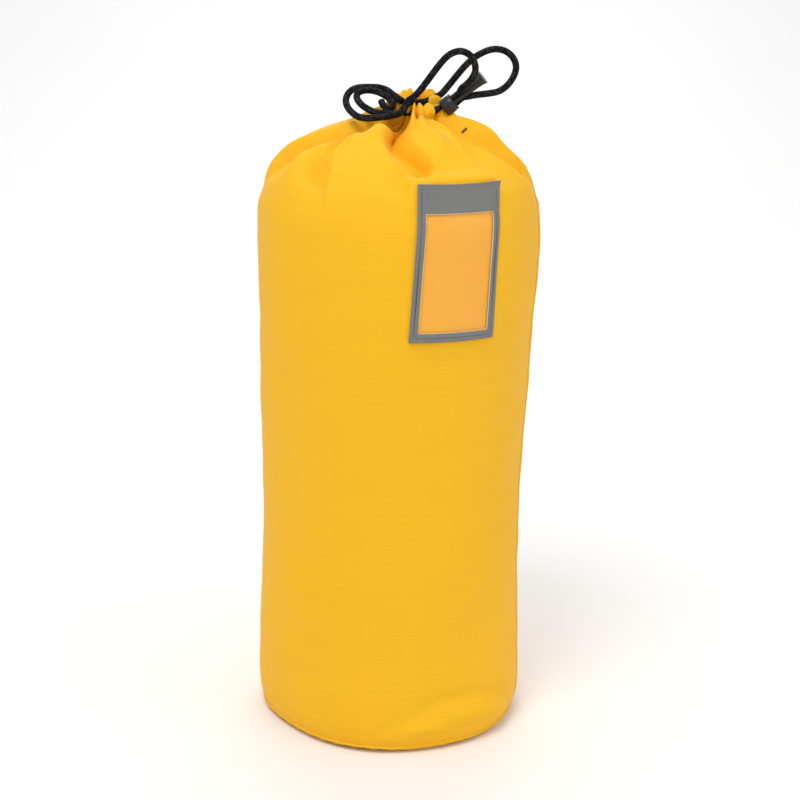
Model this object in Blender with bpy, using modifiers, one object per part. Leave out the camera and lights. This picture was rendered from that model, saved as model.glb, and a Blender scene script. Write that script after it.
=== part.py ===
import math

import bmesh
import bpy
from mathutils import Matrix, Vector

# Sizes in metres. The bag stands on z = 0 with its label to the front, -Y.
# An azimuth is in degrees from the front towards +X.

CLEARANCE = 0.0003  # kept between pieces that touch
WALL_CLEARANCE = 0.0006  # kept between the curved tube and what is sewn on it

# Fabric tube
BAG_TOP = 0.446  # top edge of the tube, at the neck
BASE_RADIUS = 0.097
WAIST_RADIUS = 0.096
FULL_RADIUS = 0.101  # the widest place, below the shoulder
WAIST_DROP = 0.246  # these drops are measured down from BAG_TOP
FULL_DROP = 0.086
WALL = 0.0008
WALL_COLUMNS = 52
WALL_ROWS = 36
# The shoulder's curve: share of the way from the neck radius out to the full radius, and drop.
SHOULDER = (
    (0.965, 0.053), (0.924, 0.042), (0.849, 0.033), (0.709, 0.022),
    (0.535, 0.0125), (0.337, 0.0055), (0.151, 0.0015),
)
NECK_SHIFT = Vector((0.011, -0.002, 0.0))  # the gathered neck sits off the bag's axis
NECK_SHIFT_DROP = 0.033
NECK_STEP = 0.0018  # the tube's edge stands this far outside the ring in the hem
BASE_PINCH = 0.0006  # how far the seam draws the tube in at its lower edge
BASE_PINCH_HEIGHT = 0.02

# Base
SEAM_HEIGHT = 0.0112
BINDING_HEIGHT = 0.0024
BINDING_INSET = 0.003
BINDING_PROUD = 0.0008
BASE_CORNER = 0.013  # how far the base curves up before it meets the seam
BASE_THICKNESS = 0.001

# Drawcord, and the hem that it runs in
CORD_DIAMETER = 0.0048
SQUEEZED_DIAMETER = 0.0035  # where the lock grips it
HEM_RING_RADIUS = 0.0132
HEM_FABRIC = 0.0006
HEM_ROOM = 0.0003
RING_END_SPREAD = 1.5  # the ring's ends stand this many cord diameters to each side of the slot's middle
SLOT_ROOM = 0.5  # more that the hem is cut back, in cord diameters

# Cord lock: a barrel on the two tails and a wedge between them
LOCK_AXIS = Vector((0.762, -0.03, 0.647)).normalized()
LOCK_FRONT_TILT = 32.0  # degrees that cord A lies in front of the plane of the barrel's axis and +Z
LOCK_OFFSET = Vector((0.0197, -0.0065, -0.0031))  # barrel's lower end, from cord_level
BARREL_RADIUS = 0.0064
BARREL_BORE = 0.0053
BARREL_LENGTH = 0.009
BARREL_CHAMFER = 0.0009
LOCK_TRAVEL = 0.006
CORD_SPACING = 0.00325  # from the barrel's axis to each cord in it
WEDGE_START = 0.001
WEDGE_LENGTH = 0.0355
# Wedge sections: distance from the barrel's lower end, half thickness and half width.
WEDGE_SECTIONS = (
    (0.001, 0.0008, 0.0022), (0.009, 0.0012, 0.0028), (0.016, 0.0012, 0.0031),
    (0.023, 0.0018, 0.0035), (0.0335, 0.0024, 0.0040), (0.0365, 0.0026, 0.0042),
)

# Label pocket
LABEL_AZIMUTH = 25.0
LABEL_WIDTH = 0.060
LABEL_HEIGHT = 0.108
LABEL_TOP_DROP = 0.033
LABEL_SIDE_BAND = 0.0057
LABEL_TOP_BAND = 0.020
LABEL_BOTTOM_BAND = 0.0062
LABEL_BACK = 0.0004
CARD_GAP = 0.0004
WINDOW_THICKNESS = 0.0003
FRAME_THICKNESS = 0.0006
STITCH_INSET = 0.0028
STITCH_DIAMETER = 0.0006

# Side seam and bar tacks
SEAM_AZIMUTH = 84.0
SIDE_SEAM_WIDTH = 0.008
SIDE_SEAM_THICKNESS = 0.0007
SIDE_SEAM_ROWS = 33  # rows of the tube that the seam runs up
SIDE_TACK_DROP = 0.096
SIDE_TACK_HEIGHT = 0.014
SIDE_TACK_WIDTH = 0.003
TACK_THICKNESS = 0.0007
LEFT_TACK = (-43.0, 0.007)  # azimuth and drop
RIGHT_TACK = (54.0, 0.0095)
SHOULDER_TACK_WIDTH = 0.0045
SHOULDER_TACK_HEIGHT = 0.0025

# Contents
FOAM_THICKNESS = 0.018
FOAM_EDGE_ROOM = 0.003
LINE_ROOM = 0.003  # between the packed line and the wall
LINE_TOP_DROP = 0.030
LINE_EDGE = 0.035

# Routes of the free tails, from where a cord would lie on the hem over the middle of the neck.
# Each starts where the cord leaves the lock.
TAIL_A_ROUTE = (
    (0.0317, -0.0104, 0.0121), (0.0352, -0.0118, 0.0152), (0.0388, -0.0140, 0.0199),
    (0.0406, -0.0160, 0.0255), (0.0394, -0.0180, 0.0314), (0.0361, -0.0190, 0.0360),
    (0.0304, -0.0190, 0.0383), (0.0246, -0.0180, 0.0370), (0.0199, -0.0165, 0.0336),
    (0.0155, -0.0150, 0.0283), (0.0112, -0.0140, 0.0224), (0.0068, -0.0135, 0.0161),
    (0.0021, -0.0140, 0.0099), (-0.0025, -0.0152, 0.0052), (-0.0060, -0.0166, 0.0028),
)
TAIL_B_ROUTE = (
    (0.0385, -0.0026, 0.0061), (0.0448, 0.0014, 0.0068), (0.0514, 0.0052, 0.0073),
    (0.0581, 0.0090, 0.0084), (0.0639, 0.0120, 0.0118), (0.0684, 0.0145, 0.0173),
    (0.0707, 0.0160, 0.0236), (0.0697, 0.0165, 0.0295), (0.0657, 0.0160, 0.0345),
    (0.0602, 0.0150, 0.0372), (0.0538, 0.0140, 0.0376), (0.0474, 0.0130, 0.0356),
    (0.0411, 0.0125, 0.0319), (0.0349, 0.0120, 0.0263), (0.0288, 0.0115, 0.0191),
    (0.0228, 0.0110, 0.0114), (0.0177, 0.0095, 0.0057), (0.0120, 0.0065, 0.0025),
    (0.0066, 0.0014, 0.0011), (0.0008, -0.0048, 0.0008), (-0.0050, -0.0105, 0.0010),
)
ROUTE_STEP = 0.0035
TAIL_LEAD = 0.0025  # how far a tail goes on along the hem before it turns to the lock

# Coil on the left shoulder, from the same place
COIL_CENTRE = Vector((-0.0310, -0.0155, 0.0027))
COIL_RADIUS = 0.0150
COIL_STRETCH = 1.12  # along X
COIL_BAND = 0.0046
COIL_TILT = 33.0  # degrees, front edge down


def remove_all():
    for item in list(bpy.data.objects):
        bpy.data.objects.remove(item, do_unlink=True)


def new_collection(name):
    collection = bpy.data.collections.new(name)
    bpy.context.scene.collection.children.link(collection)
    return collection


def make_material(name, color, roughness, metallic=0.0, alpha=1.0):
    material = bpy.data.materials.new(name)
    material.use_nodes = True
    shader = material.node_tree.nodes["Principled BSDF"]
    shader.inputs["Base Color"].default_value = (*color, 1.0)
    shader.inputs["Roughness"].default_value = roughness
    shader.inputs["Metallic"].default_value = metallic
    shader.inputs["Alpha"].default_value = alpha
    return material


def smooth_curve(points, steps):
    """Catmull-Rom curve through the points, with a few steps on each stretch."""
    points = [Vector(point) for point in points]
    ends = [2 * points[0] - points[1]] + points + [2 * points[-1] - points[-2]]
    curve = []
    for before, start, end, after in zip(ends, ends[1:], ends[2:], ends[3:]):
        for step in range(steps):
            t = step / steps
            curve.append(0.5 * (
                2 * start + (end - before) * t
                + (2 * before - 5 * start + 4 * end - after) * t ** 2
                + (3 * start - before - 3 * end + after) * t ** 3
            ))
    curve.append(points[-1])
    return curve


def evenly_spaced(points, step):
    """Points at even distances along a line through many points."""
    lengths = [0.0]
    for start, end in zip(points, points[1:]):
        lengths.append(lengths[-1] + (end - start).length)
    count = max(2, round(lengths[-1] / step))
    spaced = []
    place = 0
    for number in range(count + 1):
        wanted = lengths[-1] * number / count
        while place < len(points) - 2 and lengths[place + 1] < wanted:
            place += 1
        share = (wanted - lengths[place]) / (lengths[place + 1] - lengths[place])
        spaced.append(points[place].lerp(points[place + 1], share))
    return spaced


# The tube's outline, from the base seam up to the neck, as radius and height.
neck_radius = HEM_RING_RADIUS + NECK_STEP
wall_bottom = SEAM_HEIGHT + BINDING_HEIGHT / 2 + CLEARANCE
neck_middle = Vector((NECK_SHIFT.x, NECK_SHIFT.y, BAG_TOP))
hem_radius = CORD_DIAMETER / 2 + HEM_ROOM + HEM_FABRIC
hem_middle = neck_middle + Vector((0, 0, CLEARANCE + hem_radius))
cord_level = hem_middle + Vector((0, 0, hem_radius + CORD_DIAMETER / 2))
lock_low = cord_level + LOCK_OFFSET
outline = smooth_curve(
    [
        (BASE_RADIUS - BASE_PINCH, 0, wall_bottom),
        (BASE_RADIUS, 0, wall_bottom + BASE_PINCH_HEIGHT),
        (WAIST_RADIUS, 0, BAG_TOP - WAIST_DROP),
        (FULL_RADIUS, 0, BAG_TOP - FULL_DROP),
    ]
    + [(neck_radius + (FULL_RADIUS - neck_radius) * share, 0, BAG_TOP - drop) for share, drop in SHOULDER]
    + [(neck_radius, 0, BAG_TOP)],
    12,
)
outline_lengths = [0.0]
for start, end in zip(outline, outline[1:]):
    outline_lengths.append(outline_lengths[-1] + (end - start).length)


def wall_length_at(height):
    """Distance along the outline from its lower end to a height."""
    for place, (start, end) in enumerate(zip(outline, outline[1:])):
        if end.z >= height:
            share = (height - start.z) / (end.z - start.z)
            return outline_lengths[place] + share * (end - start).length
    return outline_lengths[-1]


def wall_span(low, high):
    """The stretch of the outline between two heights."""
    return wall_length_at(low), wall_length_at(high)


def wall_point(azimuth, length, offset):
    """A point off the fabric tube: azimuth in radians, distance along the outline, distance outside it."""
    place = 0
    while place < len(outline) - 2 and outline_lengths[place + 1] < length:
        place += 1
    start, end = outline[place], outline[place + 1]
    along = (end - start).normalized()
    point = start + along * (length - outline_lengths[place])
    radius = point.x + along.z * offset
    height = point.z - along.x * offset
    rise = min(1.0, max(0.0, (height - BAG_TOP + NECK_SHIFT_DROP) / NECK_SHIFT_DROP))
    shift = NECK_SHIFT * (rise * rise * (3 - 2 * rise))
    return Vector((math.sin(azimuth) * radius, -math.cos(azimuth) * radius, height)) + shift


def add_object(name, mesh, material, collection):
    item = bpy.data.objects.new(name, mesh)
    collection.objects.link(item)
    item.data.materials.append(material)
    return item


def round_shading(item, angle=35.0):
    item.data.shade_smooth()
    item.data.set_sharp_from_angle(angle=math.radians(angle))


def wall_piece(name, azimuth, width, span, offset, thickness, columns, rows, material, collection):
    """A sheet that follows the tube over a span of its outline. A width of None goes all round."""
    full = width is None
    reach = math.pi if full else width / 2 / FULL_RADIUS
    middle = math.radians(azimuth)
    low_length, high_length = span
    mesh = bpy.data.meshes.new(name)
    sheet = bmesh.new()
    bmesh.ops.create_grid(sheet, x_segments=columns, y_segments=rows, size=1.0)
    for vertex in sheet.verts:
        length = low_length + (high_length - low_length) * (vertex.co.y + 1) / 2
        vertex.co = wall_point(middle + reach * vertex.co.x, length, offset)
    if full:
        bmesh.ops.remove_doubles(sheet, verts=sheet.verts, dist=1e-6)
    sheet.to_mesh(mesh)
    sheet.free()
    item = add_object(name, mesh, material, collection)
    shell = item.modifiers.new("thickness", "SOLIDIFY")
    shell.thickness = abs(thickness)
    shell.offset = 1.0 if thickness > 0 else -1.0
    round_shading(item)
    return item


def turned(name, section, closed, steps, material, collection):
    """A turned solid from a section in the XZ plane, given from its top down its outer side."""
    mesh = bpy.data.meshes.new(name)
    edges = [(number, number + 1) for number in range(len(section) - 1)]
    if closed:
        edges.append((len(section) - 1, 0))
    mesh.from_pydata([(radius, 0, height) for radius, height in section], edges, [])
    item = add_object(name, mesh, material, collection)
    screw = item.modifiers.new("turn", "SCREW")
    screw.steps = steps
    screw.render_steps = steps
    screw.use_merge_vertices = True
    screw.merge_threshold = 0.00001
    screw.use_smooth_shade = True
    return item


def arc(centre_x, centre_z, radius, start, end, steps):
    """Points on an arc in the XZ plane, angles in degrees from +X."""
    points = []
    for step in range(steps + 1):
        angle = math.radians(start + (end - start) * step / steps)
        points.append((centre_x + radius * math.cos(angle), centre_z + radius * math.sin(angle)))
    return points


def rounded_disc(name, radius, low, high, top_edge, low_edge, material, collection):
    """A turned puck with rounded edges."""
    section = [(0.0, high)]
    section += arc(radius - top_edge, high - top_edge, top_edge, 90, 0, 5)
    section += arc(radius - low_edge, low + low_edge, low_edge, 0, -90, 4)
    section.append((0.0, low))
    return turned(name, section, False, 48, material, collection)


def cord_tube(name, points, diameter, resolution, material, collection, squeezed=()):
    """A round cord along its points. The numbers in squeezed are those of the points inside the lock."""
    curve = bpy.data.curves.new(name, "CURVE")
    curve.dimensions = "3D"
    curve.bevel_depth = diameter / 2
    curve.bevel_resolution = resolution
    curve.use_fill_caps = True
    spline = curve.splines.new("POLY")
    spline.points.add(len(points) - 1)
    for number, point in enumerate(points):
        spline.points[number].co = (*point, 1.0)
        spline.points[number].radius = SQUEEZED_DIAMETER / CORD_DIAMETER if number in squeezed else 1.0
    item = bpy.data.objects.new(name, curve)
    collection.objects.link(item)
    item.data.materials.append(material)
    return item


def cut(item, cutter, cutters):
    cutter.hide_render = True
    cutter.display_type = "WIRE"
    for holder in list(cutter.users_collection):
        holder.objects.unlink(cutter)
    cutters.objects.link(cutter)
    boolean = item.modifiers.new("cut", "BOOLEAN")
    boolean.operation = "DIFFERENCE"
    boolean.solver = "EXACT"
    boolean.object = cutter


def build_bag(parts, fabric, trim):
    whole = outline_lengths[-1]
    wall_piece("body_panel", 0.0, None, (0.0, whole), 0.0, -WALL, WALL_COLUMNS, WALL_ROWS, fabric, parts)

    seam_low = SEAM_HEIGHT - BINDING_HEIGHT / 2
    seam_high = SEAM_HEIGHT + BINDING_HEIGHT / 2
    turned(
        "base_seam_binding",
        [
            (BASE_RADIUS - BINDING_INSET, seam_high), (BASE_RADIUS, seam_high),
            (BASE_RADIUS + BINDING_PROUD, SEAM_HEIGHT), (BASE_RADIUS, seam_low),
            (BASE_RADIUS - BINDING_INSET, seam_low),
        ],
        True, 56, trim, parts,
    )

    # The base is a shallow dish: flat, then a quarter of an ellipse up to the seam.
    rim = seam_low - CLEARANCE
    flat = BASE_RADIUS - BASE_CORNER
    outer, inner = [], []
    for step in range(6):
        angle = math.radians(90 * step / 5)
        outer.append((flat + (BASE_CORNER - 0.001) * math.cos(angle), rim - rim * math.sin(angle)))
        inner.append((
            flat + (BASE_CORNER - 0.001 - BASE_THICKNESS) * math.cos(angle),
            rim - (rim - BASE_THICKNESS) * math.sin(angle),
        ))
    section = [(0.0, BASE_THICKNESS)] + inner[::-1] + outer + [(0.0, 0.0)]
    turned("base_panel", section, False, 56, fabric, parts)

    # The seam bends at the same heights as the tube, so the gap between them is even.
    wall_piece(
        "side_seam", SEAM_AZIMUTH, SIDE_SEAM_WIDTH, (0.0, whole * SIDE_SEAM_ROWS / WALL_ROWS),
        WALL_CLEARANCE, SIDE_SEAM_THICKNESS, 4, SIDE_SEAM_ROWS, fabric, parts,
    )


def slot_angles():
    """Direction of the slot, and half the angles left out of the ring and of the hem, in degrees."""
    middle = math.degrees(math.atan2(LOCK_OFFSET.y, LOCK_OFFSET.x))
    ring_half = math.degrees(math.asin(RING_END_SPREAD * CORD_DIAMETER / HEM_RING_RADIUS))
    hem_half = ring_half + math.degrees(SLOT_ROOM * CORD_DIAMETER / HEM_RING_RADIUS)
    return middle, ring_half, hem_half


def build_hem(parts, fabric, cord):
    """The drawcord casing, open at a slot under the lock, and the drawcord inside it."""
    slot_angle, ring_half, hem_half = slot_angles()
    mesh = bpy.data.meshes.new("hem_channel")
    ring = bmesh.new()
    bmesh.ops.create_circle(ring, cap_ends=False, radius=hem_radius, segments=12)
    stand_up = Matrix.Rotation(math.radians(90), 4, "X")
    bmesh.ops.transform(
        ring, matrix=Matrix.Translation((HEM_RING_RADIUS, 0, 0)) @ stand_up, verts=ring.verts
    )
    ring.to_mesh(mesh)
    ring.free()
    hem = add_object("hem_channel", mesh, fabric, parts)
    screw = hem.modifiers.new("turn", "SCREW")
    screw.angle = math.radians(360 - 2 * hem_half)
    screw.steps = 40
    screw.render_steps = 40
    screw.use_smooth_shade = True
    shell = hem.modifiers.new("thickness", "SOLIDIFY")
    shell.thickness = HEM_FABRIC
    shell.offset = -1.0
    hem.location = hem_middle
    hem.rotation_euler.z = math.radians(slot_angle + hem_half)

    points = []
    steps = 30
    for step in range(steps + 1):
        angle = math.radians(slot_angle + ring_half + (360 - 2 * ring_half) * step / steps)
        points.append(hem_middle + HEM_RING_RADIUS * Vector((math.cos(angle), math.sin(angle), 0)))
    cord_tube("drawcord_in_hem", points, CORD_DIAMETER, 2, cord, parts)
    return points


def lock_directions():
    """The barrel's axis, the direction from it to cord A, and the wedge's width direction."""
    upward = (Vector((0, 0, 1)) - LOCK_AXIS * LOCK_AXIS.z).normalized()
    sideways = LOCK_AXIS.cross(upward)
    tilt = math.radians(LOCK_FRONT_TILT)
    if sideways.y > 0:
        sideways = -sideways
    towards_a = upward * math.cos(tilt) + sideways * math.sin(tilt)
    return LOCK_AXIS, towards_a, LOCK_AXIS.cross(towards_a)


def build_tail(name, side, ring_end, ring_inward, route, cord, parts):
    """A free tail: from the end of the ring in the hem, through the lock and along its route."""
    axis, towards_a, width = lock_directions()
    offset = towards_a * CORD_SPACING * side
    straight_end = BARREL_LENGTH + LOCK_TRAVEL
    gripped = [lock_low + offset + axis * distance for distance in (-0.001, 0.004, 0.010, straight_end)]
    start = ring_end - ring_inward * 3 * CLEARANCE
    turn = start - ring_inward * TAIL_LEAD
    lead = [start, turn, turn.lerp(gripped[0], 0.5)]
    after = [cord_level + Vector(point) for point in route]
    dense = smooth_curve(lead + gripped + after, 10)
    points = evenly_spaced(dense, ROUTE_STEP)
    squeezed = []
    for number, point in enumerate(points):
        distance = (point - lock_low).dot(axis)
        near = (point - lock_low - offset - axis * distance).length < 0.002
        if near and -0.003 < distance < straight_end + 0.002:
            squeezed.append(number)
    return cord_tube(name, points, CORD_DIAMETER, 3, cord, parts, squeezed)


def build_drawcord(parts, cord, ring_points):
    first, last = ring_points[0], ring_points[-1]
    first_inward = (ring_points[1] - first).normalized()
    last_inward = (ring_points[-2] - last).normalized()
    build_tail("drawcord_tail_a", 1.0, last, last_inward, TAIL_A_ROUTE, cord, parts)
    build_tail("drawcord_tail_b", -1.0, first, first_inward, TAIL_B_ROUTE, cord, parts)

    mesh_steps = 14
    section = arc(COIL_RADIUS, 0.0, COIL_BAND, 90, 90 - 360 + 360 / mesh_steps, mesh_steps - 1)
    coil = turned("drawcord_coil", section, True, 28, cord, parts)
    coil.location = cord_level + COIL_CENTRE
    coil.scale = (COIL_STRETCH, 1.0, 0.78)
    coil.rotation_euler.x = math.radians(COIL_TILT)


def build_lock(parts, plastic, wedge_plastic):
    axis, towards_a, width = lock_directions()
    turn = Matrix((towards_a.cross(axis), -towards_a, axis)).transposed()
    if turn.determinant() < 0:
        turn = Matrix((-towards_a.cross(axis), -towards_a, axis)).transposed()

    pivot = bpy.data.objects.new("lock_axis", None)
    pivot.location = lock_low
    pivot.rotation_euler = turn.to_euler()
    parts.objects.link(pivot)

    chamfer = BARREL_CHAMFER
    wall_inside = BARREL_BORE
    top = BARREL_LENGTH
    section = [
        (wall_inside, top), (BARREL_RADIUS - chamfer, top), (BARREL_RADIUS, top - chamfer),
        (BARREL_RADIUS, chamfer), (BARREL_RADIUS - chamfer, 0.0), (wall_inside, 0.0),
    ]
    barrel = turned("cord_lock_barrel", section, True, 32, plastic, parts)
    barrel.parent = pivot

    # The wedge is a block cut at its sections and drawn in at each of them.
    mesh = bpy.data.meshes.new("cord_lock_wedge")
    block = bmesh.new()
    middle = WEDGE_START + WEDGE_LENGTH / 2
    size = Matrix.Diagonal((1.0, 1.0, WEDGE_LENGTH, 1.0))
    bmesh.ops.create_cube(block, size=1.0, matrix=Matrix.Translation((0, 0, middle)) @ size)
    for distance, half_thickness, half_width in WEDGE_SECTIONS[1:-1]:
        geometry = block.verts[:] + block.edges[:] + block.faces[:]
        bmesh.ops.bisect_plane(block, geom=geometry, plane_co=(0, 0, distance), plane_no=(0, 0, 1))
    for vertex in block.verts:
        nearest = min(WEDGE_SECTIONS, key=lambda section: abs(section[0] - vertex.co.z))
        vertex.co.x = math.copysign(nearest[2], vertex.co.x)
        vertex.co.y = math.copysign(nearest[1], vertex.co.y)
    block.to_mesh(mesh)
    block.free()
    wedge = add_object("cord_lock_wedge", mesh, wedge_plastic, parts)
    wedge.parent = pivot
    rounding = wedge.modifiers.new("rounding", "BEVEL")
    rounding.width = 0.0004
    rounding.segments = 2
    rounding.limit_method = "ANGLE"
    rounding.angle_limit = math.radians(50)


def build_label(parts, cutters, vinyl, clear, thread):
    """A vinyl back, a clear sheet and a vinyl frame, with room for a card, sewn on round three sides."""
    top = BAG_TOP - LABEL_TOP_DROP
    low = top - LABEL_HEIGHT
    back_offset = WALL_CLEARANCE
    window_offset = back_offset + LABEL_BACK + CARD_GAP
    frame_offset = window_offset + WINDOW_THICKNESS + CLEARANCE
    wall_piece(
        "label_back", LABEL_AZIMUTH, LABEL_WIDTH, wall_span(low, top), back_offset, LABEL_BACK, 12, 16, vinyl, parts
    )

    opening_width = LABEL_WIDTH - 2 * LABEL_SIDE_BAND
    opening_low = low + LABEL_BOTTOM_BAND
    opening_top = top - LABEL_TOP_BAND
    wall_piece(
        "label_window", LABEL_AZIMUTH, LABEL_WIDTH, wall_span(low, top),
        window_offset, WINDOW_THICKNESS, 12, 16, clear, parts,
    )
    frame = wall_piece(
        "label_frame", LABEL_AZIMUTH, LABEL_WIDTH, wall_span(low, top),
        frame_offset, FRAME_THICKNESS, 12, 16, vinyl, parts,
    )
    cutter = wall_piece(
        "label_opening", LABEL_AZIMUTH, opening_width, wall_span(opening_low, opening_top),
        frame_offset - 0.002, FRAME_THICKNESS + 0.004, 11, 13, vinyl, parts,
    )
    cut(frame, cutter, cutters)

    stitch_offset = frame_offset + FRAME_THICKNESS + CLEARANCE + STITCH_DIAMETER / 2
    half_reach = (LABEL_WIDTH / 2 - STITCH_INSET) / FULL_RADIUS
    middle = math.radians(LABEL_AZIMUTH)
    low_length = wall_length_at(low + STITCH_INSET)
    top_length = wall_length_at(top - STITCH_INSET)
    side_steps, base_steps = 24, 10
    points = []
    for step in range(side_steps):
        length = top_length + (low_length - top_length) * step / side_steps
        points.append(wall_point(middle - half_reach, length, stitch_offset))
    for step in range(base_steps):
        azimuth = middle + half_reach * (2 * step / base_steps - 1)
        points.append(wall_point(azimuth, low_length, stitch_offset))
    for step in range(side_steps + 1):
        length = low_length + (top_length - low_length) * step / side_steps
        points.append(wall_point(middle + half_reach, length, stitch_offset))
    cord_tube("label_stitching", points, STITCH_DIAMETER, 2, thread, parts)


def build_tacks(parts, thread):
    for name, (azimuth, drop) in (("bar_tack_left", LEFT_TACK), ("bar_tack_right", RIGHT_TACK)):
        height = BAG_TOP - drop
        length = wall_length_at(height)
        share = wall_point(0.0, length, 0.0).y - NECK_SHIFT.y
        width = SHOULDER_TACK_WIDTH * FULL_RADIUS / abs(share)
        rise = SHOULDER_TACK_HEIGHT * 0.25
        wall_piece(
            name, azimuth, width, wall_span(height - rise, height + rise),
            WALL_CLEARANCE, TACK_THICKNESS, 3, 3, thread, parts,
        )
    low = BAG_TOP - SIDE_TACK_DROP - SIDE_TACK_HEIGHT / 2
    offset = WALL_CLEARANCE + SIDE_SEAM_THICKNESS + CLEARANCE
    wall_piece(
        "bar_tack_side", SEAM_AZIMUTH, SIDE_TACK_WIDTH, wall_span(low, low + SIDE_TACK_HEIGHT),
        offset, TACK_THICKNESS, 3, 5, thread, parts,
    )


def build_contents(parts, foam, line):
    """A flotation disc on the base, and the line packed on top of it."""
    foam_low = BASE_THICKNESS + CLEARANCE
    foam_radius = BASE_RADIUS - BASE_CORNER - FOAM_EDGE_ROOM
    rounded_disc(
        "flotation_disc", foam_radius, foam_low, foam_low + FOAM_THICKNESS, 0.002, 0.002, foam, parts
    )
    line_radius = min(BASE_RADIUS, WAIST_RADIUS, FULL_RADIUS) - WALL - LINE_ROOM
    rounded_disc(
        "packed_throw_line", line_radius, foam_low + FOAM_THICKNESS + CLEARANCE,
        BAG_TOP - LINE_TOP_DROP, LINE_EDGE, 0.006, line, parts,
    )


def main():
    remove_all()
    parts = new_collection("throw_rope_bag")
    cutters = new_collection("cutters")
    cutters.hide_render = True

    yellow = make_material("yellow_nylon", (0.93, 0.48, 0.02), 0.62)
    dark_yellow = make_material("yellow_binding", (0.80, 0.38, 0.02), 0.65)
    black_cord = make_material("black_cord", (0.012, 0.012, 0.013), 0.75)
    black_plastic = make_material("black_plastic", (0.015, 0.015, 0.016), 0.4)
    wedge_plastic = make_material("black_wedge_plastic", (0.02, 0.02, 0.021), 0.45)
    vinyl = make_material("grey_vinyl", (0.22, 0.22, 0.22), 0.5)
    clear = make_material("clear_window", (0.95, 0.95, 0.95), 0.08, alpha=0.25)
    thread = make_material("dark_thread", (0.03, 0.03, 0.03), 0.8)
    foam = make_material("closed_cell_foam", (0.75, 0.75, 0.72), 0.9)
    line = make_material("floating_line", (0.85, 0.30, 0.03), 0.7)

    build_bag(parts, yellow, dark_yellow)
    ring_points = build_hem(parts, yellow, black_cord)
    build_drawcord(parts, black_cord, ring_points)
    build_lock(parts, black_plastic, wedge_plastic)
    build_label(parts, cutters, vinyl, clear, thread)
    build_tacks(parts, thread)
    build_contents(parts, foam, line)


main()
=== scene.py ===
import math

import bmesh
import bpy
import numpy as np
from mathutils import Matrix, Vector, noise


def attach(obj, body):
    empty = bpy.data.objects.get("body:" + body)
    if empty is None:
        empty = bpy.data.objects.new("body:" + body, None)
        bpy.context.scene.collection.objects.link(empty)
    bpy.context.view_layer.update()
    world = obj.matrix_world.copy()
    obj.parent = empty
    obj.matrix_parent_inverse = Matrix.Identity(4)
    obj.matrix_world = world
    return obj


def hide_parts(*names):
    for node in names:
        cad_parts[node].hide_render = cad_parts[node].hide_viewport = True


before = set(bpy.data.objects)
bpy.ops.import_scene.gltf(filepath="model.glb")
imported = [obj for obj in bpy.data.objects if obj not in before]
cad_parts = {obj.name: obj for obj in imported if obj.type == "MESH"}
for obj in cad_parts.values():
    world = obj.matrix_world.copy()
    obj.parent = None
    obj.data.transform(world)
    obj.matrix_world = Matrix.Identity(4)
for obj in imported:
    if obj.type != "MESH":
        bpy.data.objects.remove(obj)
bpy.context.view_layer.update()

scene = bpy.context.scene
scene.view_settings.view_transform = "Standard"

# Places are in metres. The bag stands on z = 0 and its label faces -Y.
# An azimuth is in degrees from the front towards +X.

camera = {
    "elevation": 15.0,
    "distance": 1.39,
    "target": (0.0, 0.0, 0.2368),
    "lens": 84.65,
    "sensor": 36.0,
    "lean": 1.26,  # degrees that the bag leans to the right in the picture
    "shift": 0.0075,
}


def addItem(name, data):
    item = bpy.data.objects.new(name, data)
    scene.collection.objects.link(item)
    return item


def makeCamera(choice):
    rise, lean = math.radians(choice["elevation"]), math.radians(choice["lean"])
    forward = Vector((0, math.cos(rise), -math.sin(rise)))
    right, up = Vector((1, 0, 0)), Vector((0, math.sin(rise), math.cos(rise)))
    leanRight = right * math.cos(lean) + up * math.sin(lean)
    leanUp = up * math.cos(lean) - right * math.sin(lean)
    data = bpy.data.cameras.new("camera")
    data.lens, data.sensor_width, data.shift_x = choice["lens"], choice["sensor"], choice["shift"]
    item = addItem("camera", data)
    turn = Matrix((leanRight, leanUp, -forward)).transposed().to_4x4()
    item.matrix_world = Matrix.Translation(Vector(choice["target"]) - forward * choice["distance"]) @ turn
    scene.camera = item


makeCamera(camera)
print("camera placed")


def smoothCurve(points, steps):
    points = [Vector(point) for point in points]
    ends = [2 * points[0] - points[1]] + points + [2 * points[-1] - points[-2]]
    curve = []
    for before, start, end, after in zip(ends, ends[1:], ends[2:], ends[3:]):
        for step in range(steps):
            t = step / steps
            curve.append(0.5 * (
                2 * start + (end - before) * t
                + (2 * before - 5 * start + 4 * end - after) * t ** 2
                + (3 * start - before - 3 * end + after) * t ** 3
            ))
    curve.append(points[-1])
    return curve


def eased(share):
    return share * share * (3 - 2 * share)


def step01(value, low, high):
    return eased(np.clip((value - low) / (high - low), 0.0, 1.0))


def lengthsAlong(line):
    return np.concatenate(([0.0], np.cumsum(np.linalg.norm(np.diff(line, axis=0), axis=1))))


def evenly(points, step):
    line = np.array([tuple(point) for point in points])
    lengths = lengthsAlong(line)
    wanted = np.linspace(0.0, lengths[-1], max(3, round(lengths[-1] / step)) + 1)
    return np.stack([np.interp(wanted, lengths, line[:, axis]) for axis in range(3)], axis=1), wanted


def frames(line):
    along = np.gradient(line, axis=0)
    along /= np.linalg.norm(along, axis=1)[:, None]
    side = np.cross(along[0], (0.3, 0.8, 0.5))
    side /= np.linalg.norm(side)
    sides = []
    for direction in along:
        side = side - direction * side.dot(direction)
        side = side / np.linalg.norm(side)
        sides.append(side)
    sides = np.array(sides)
    return sides, np.cross(along, sides)


def setUvs(bm, uvOf):
    layer = bm.loops.layers.uv.new("UVMap")
    for face in bm.faces:
        for loop in face.loops:
            loop[layer].uv = uvOf(loop.vert)


def gridUvs(across, down):
    return np.stack(np.broadcast_arrays(across[None, :], -down[:, None]), axis=2)


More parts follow.
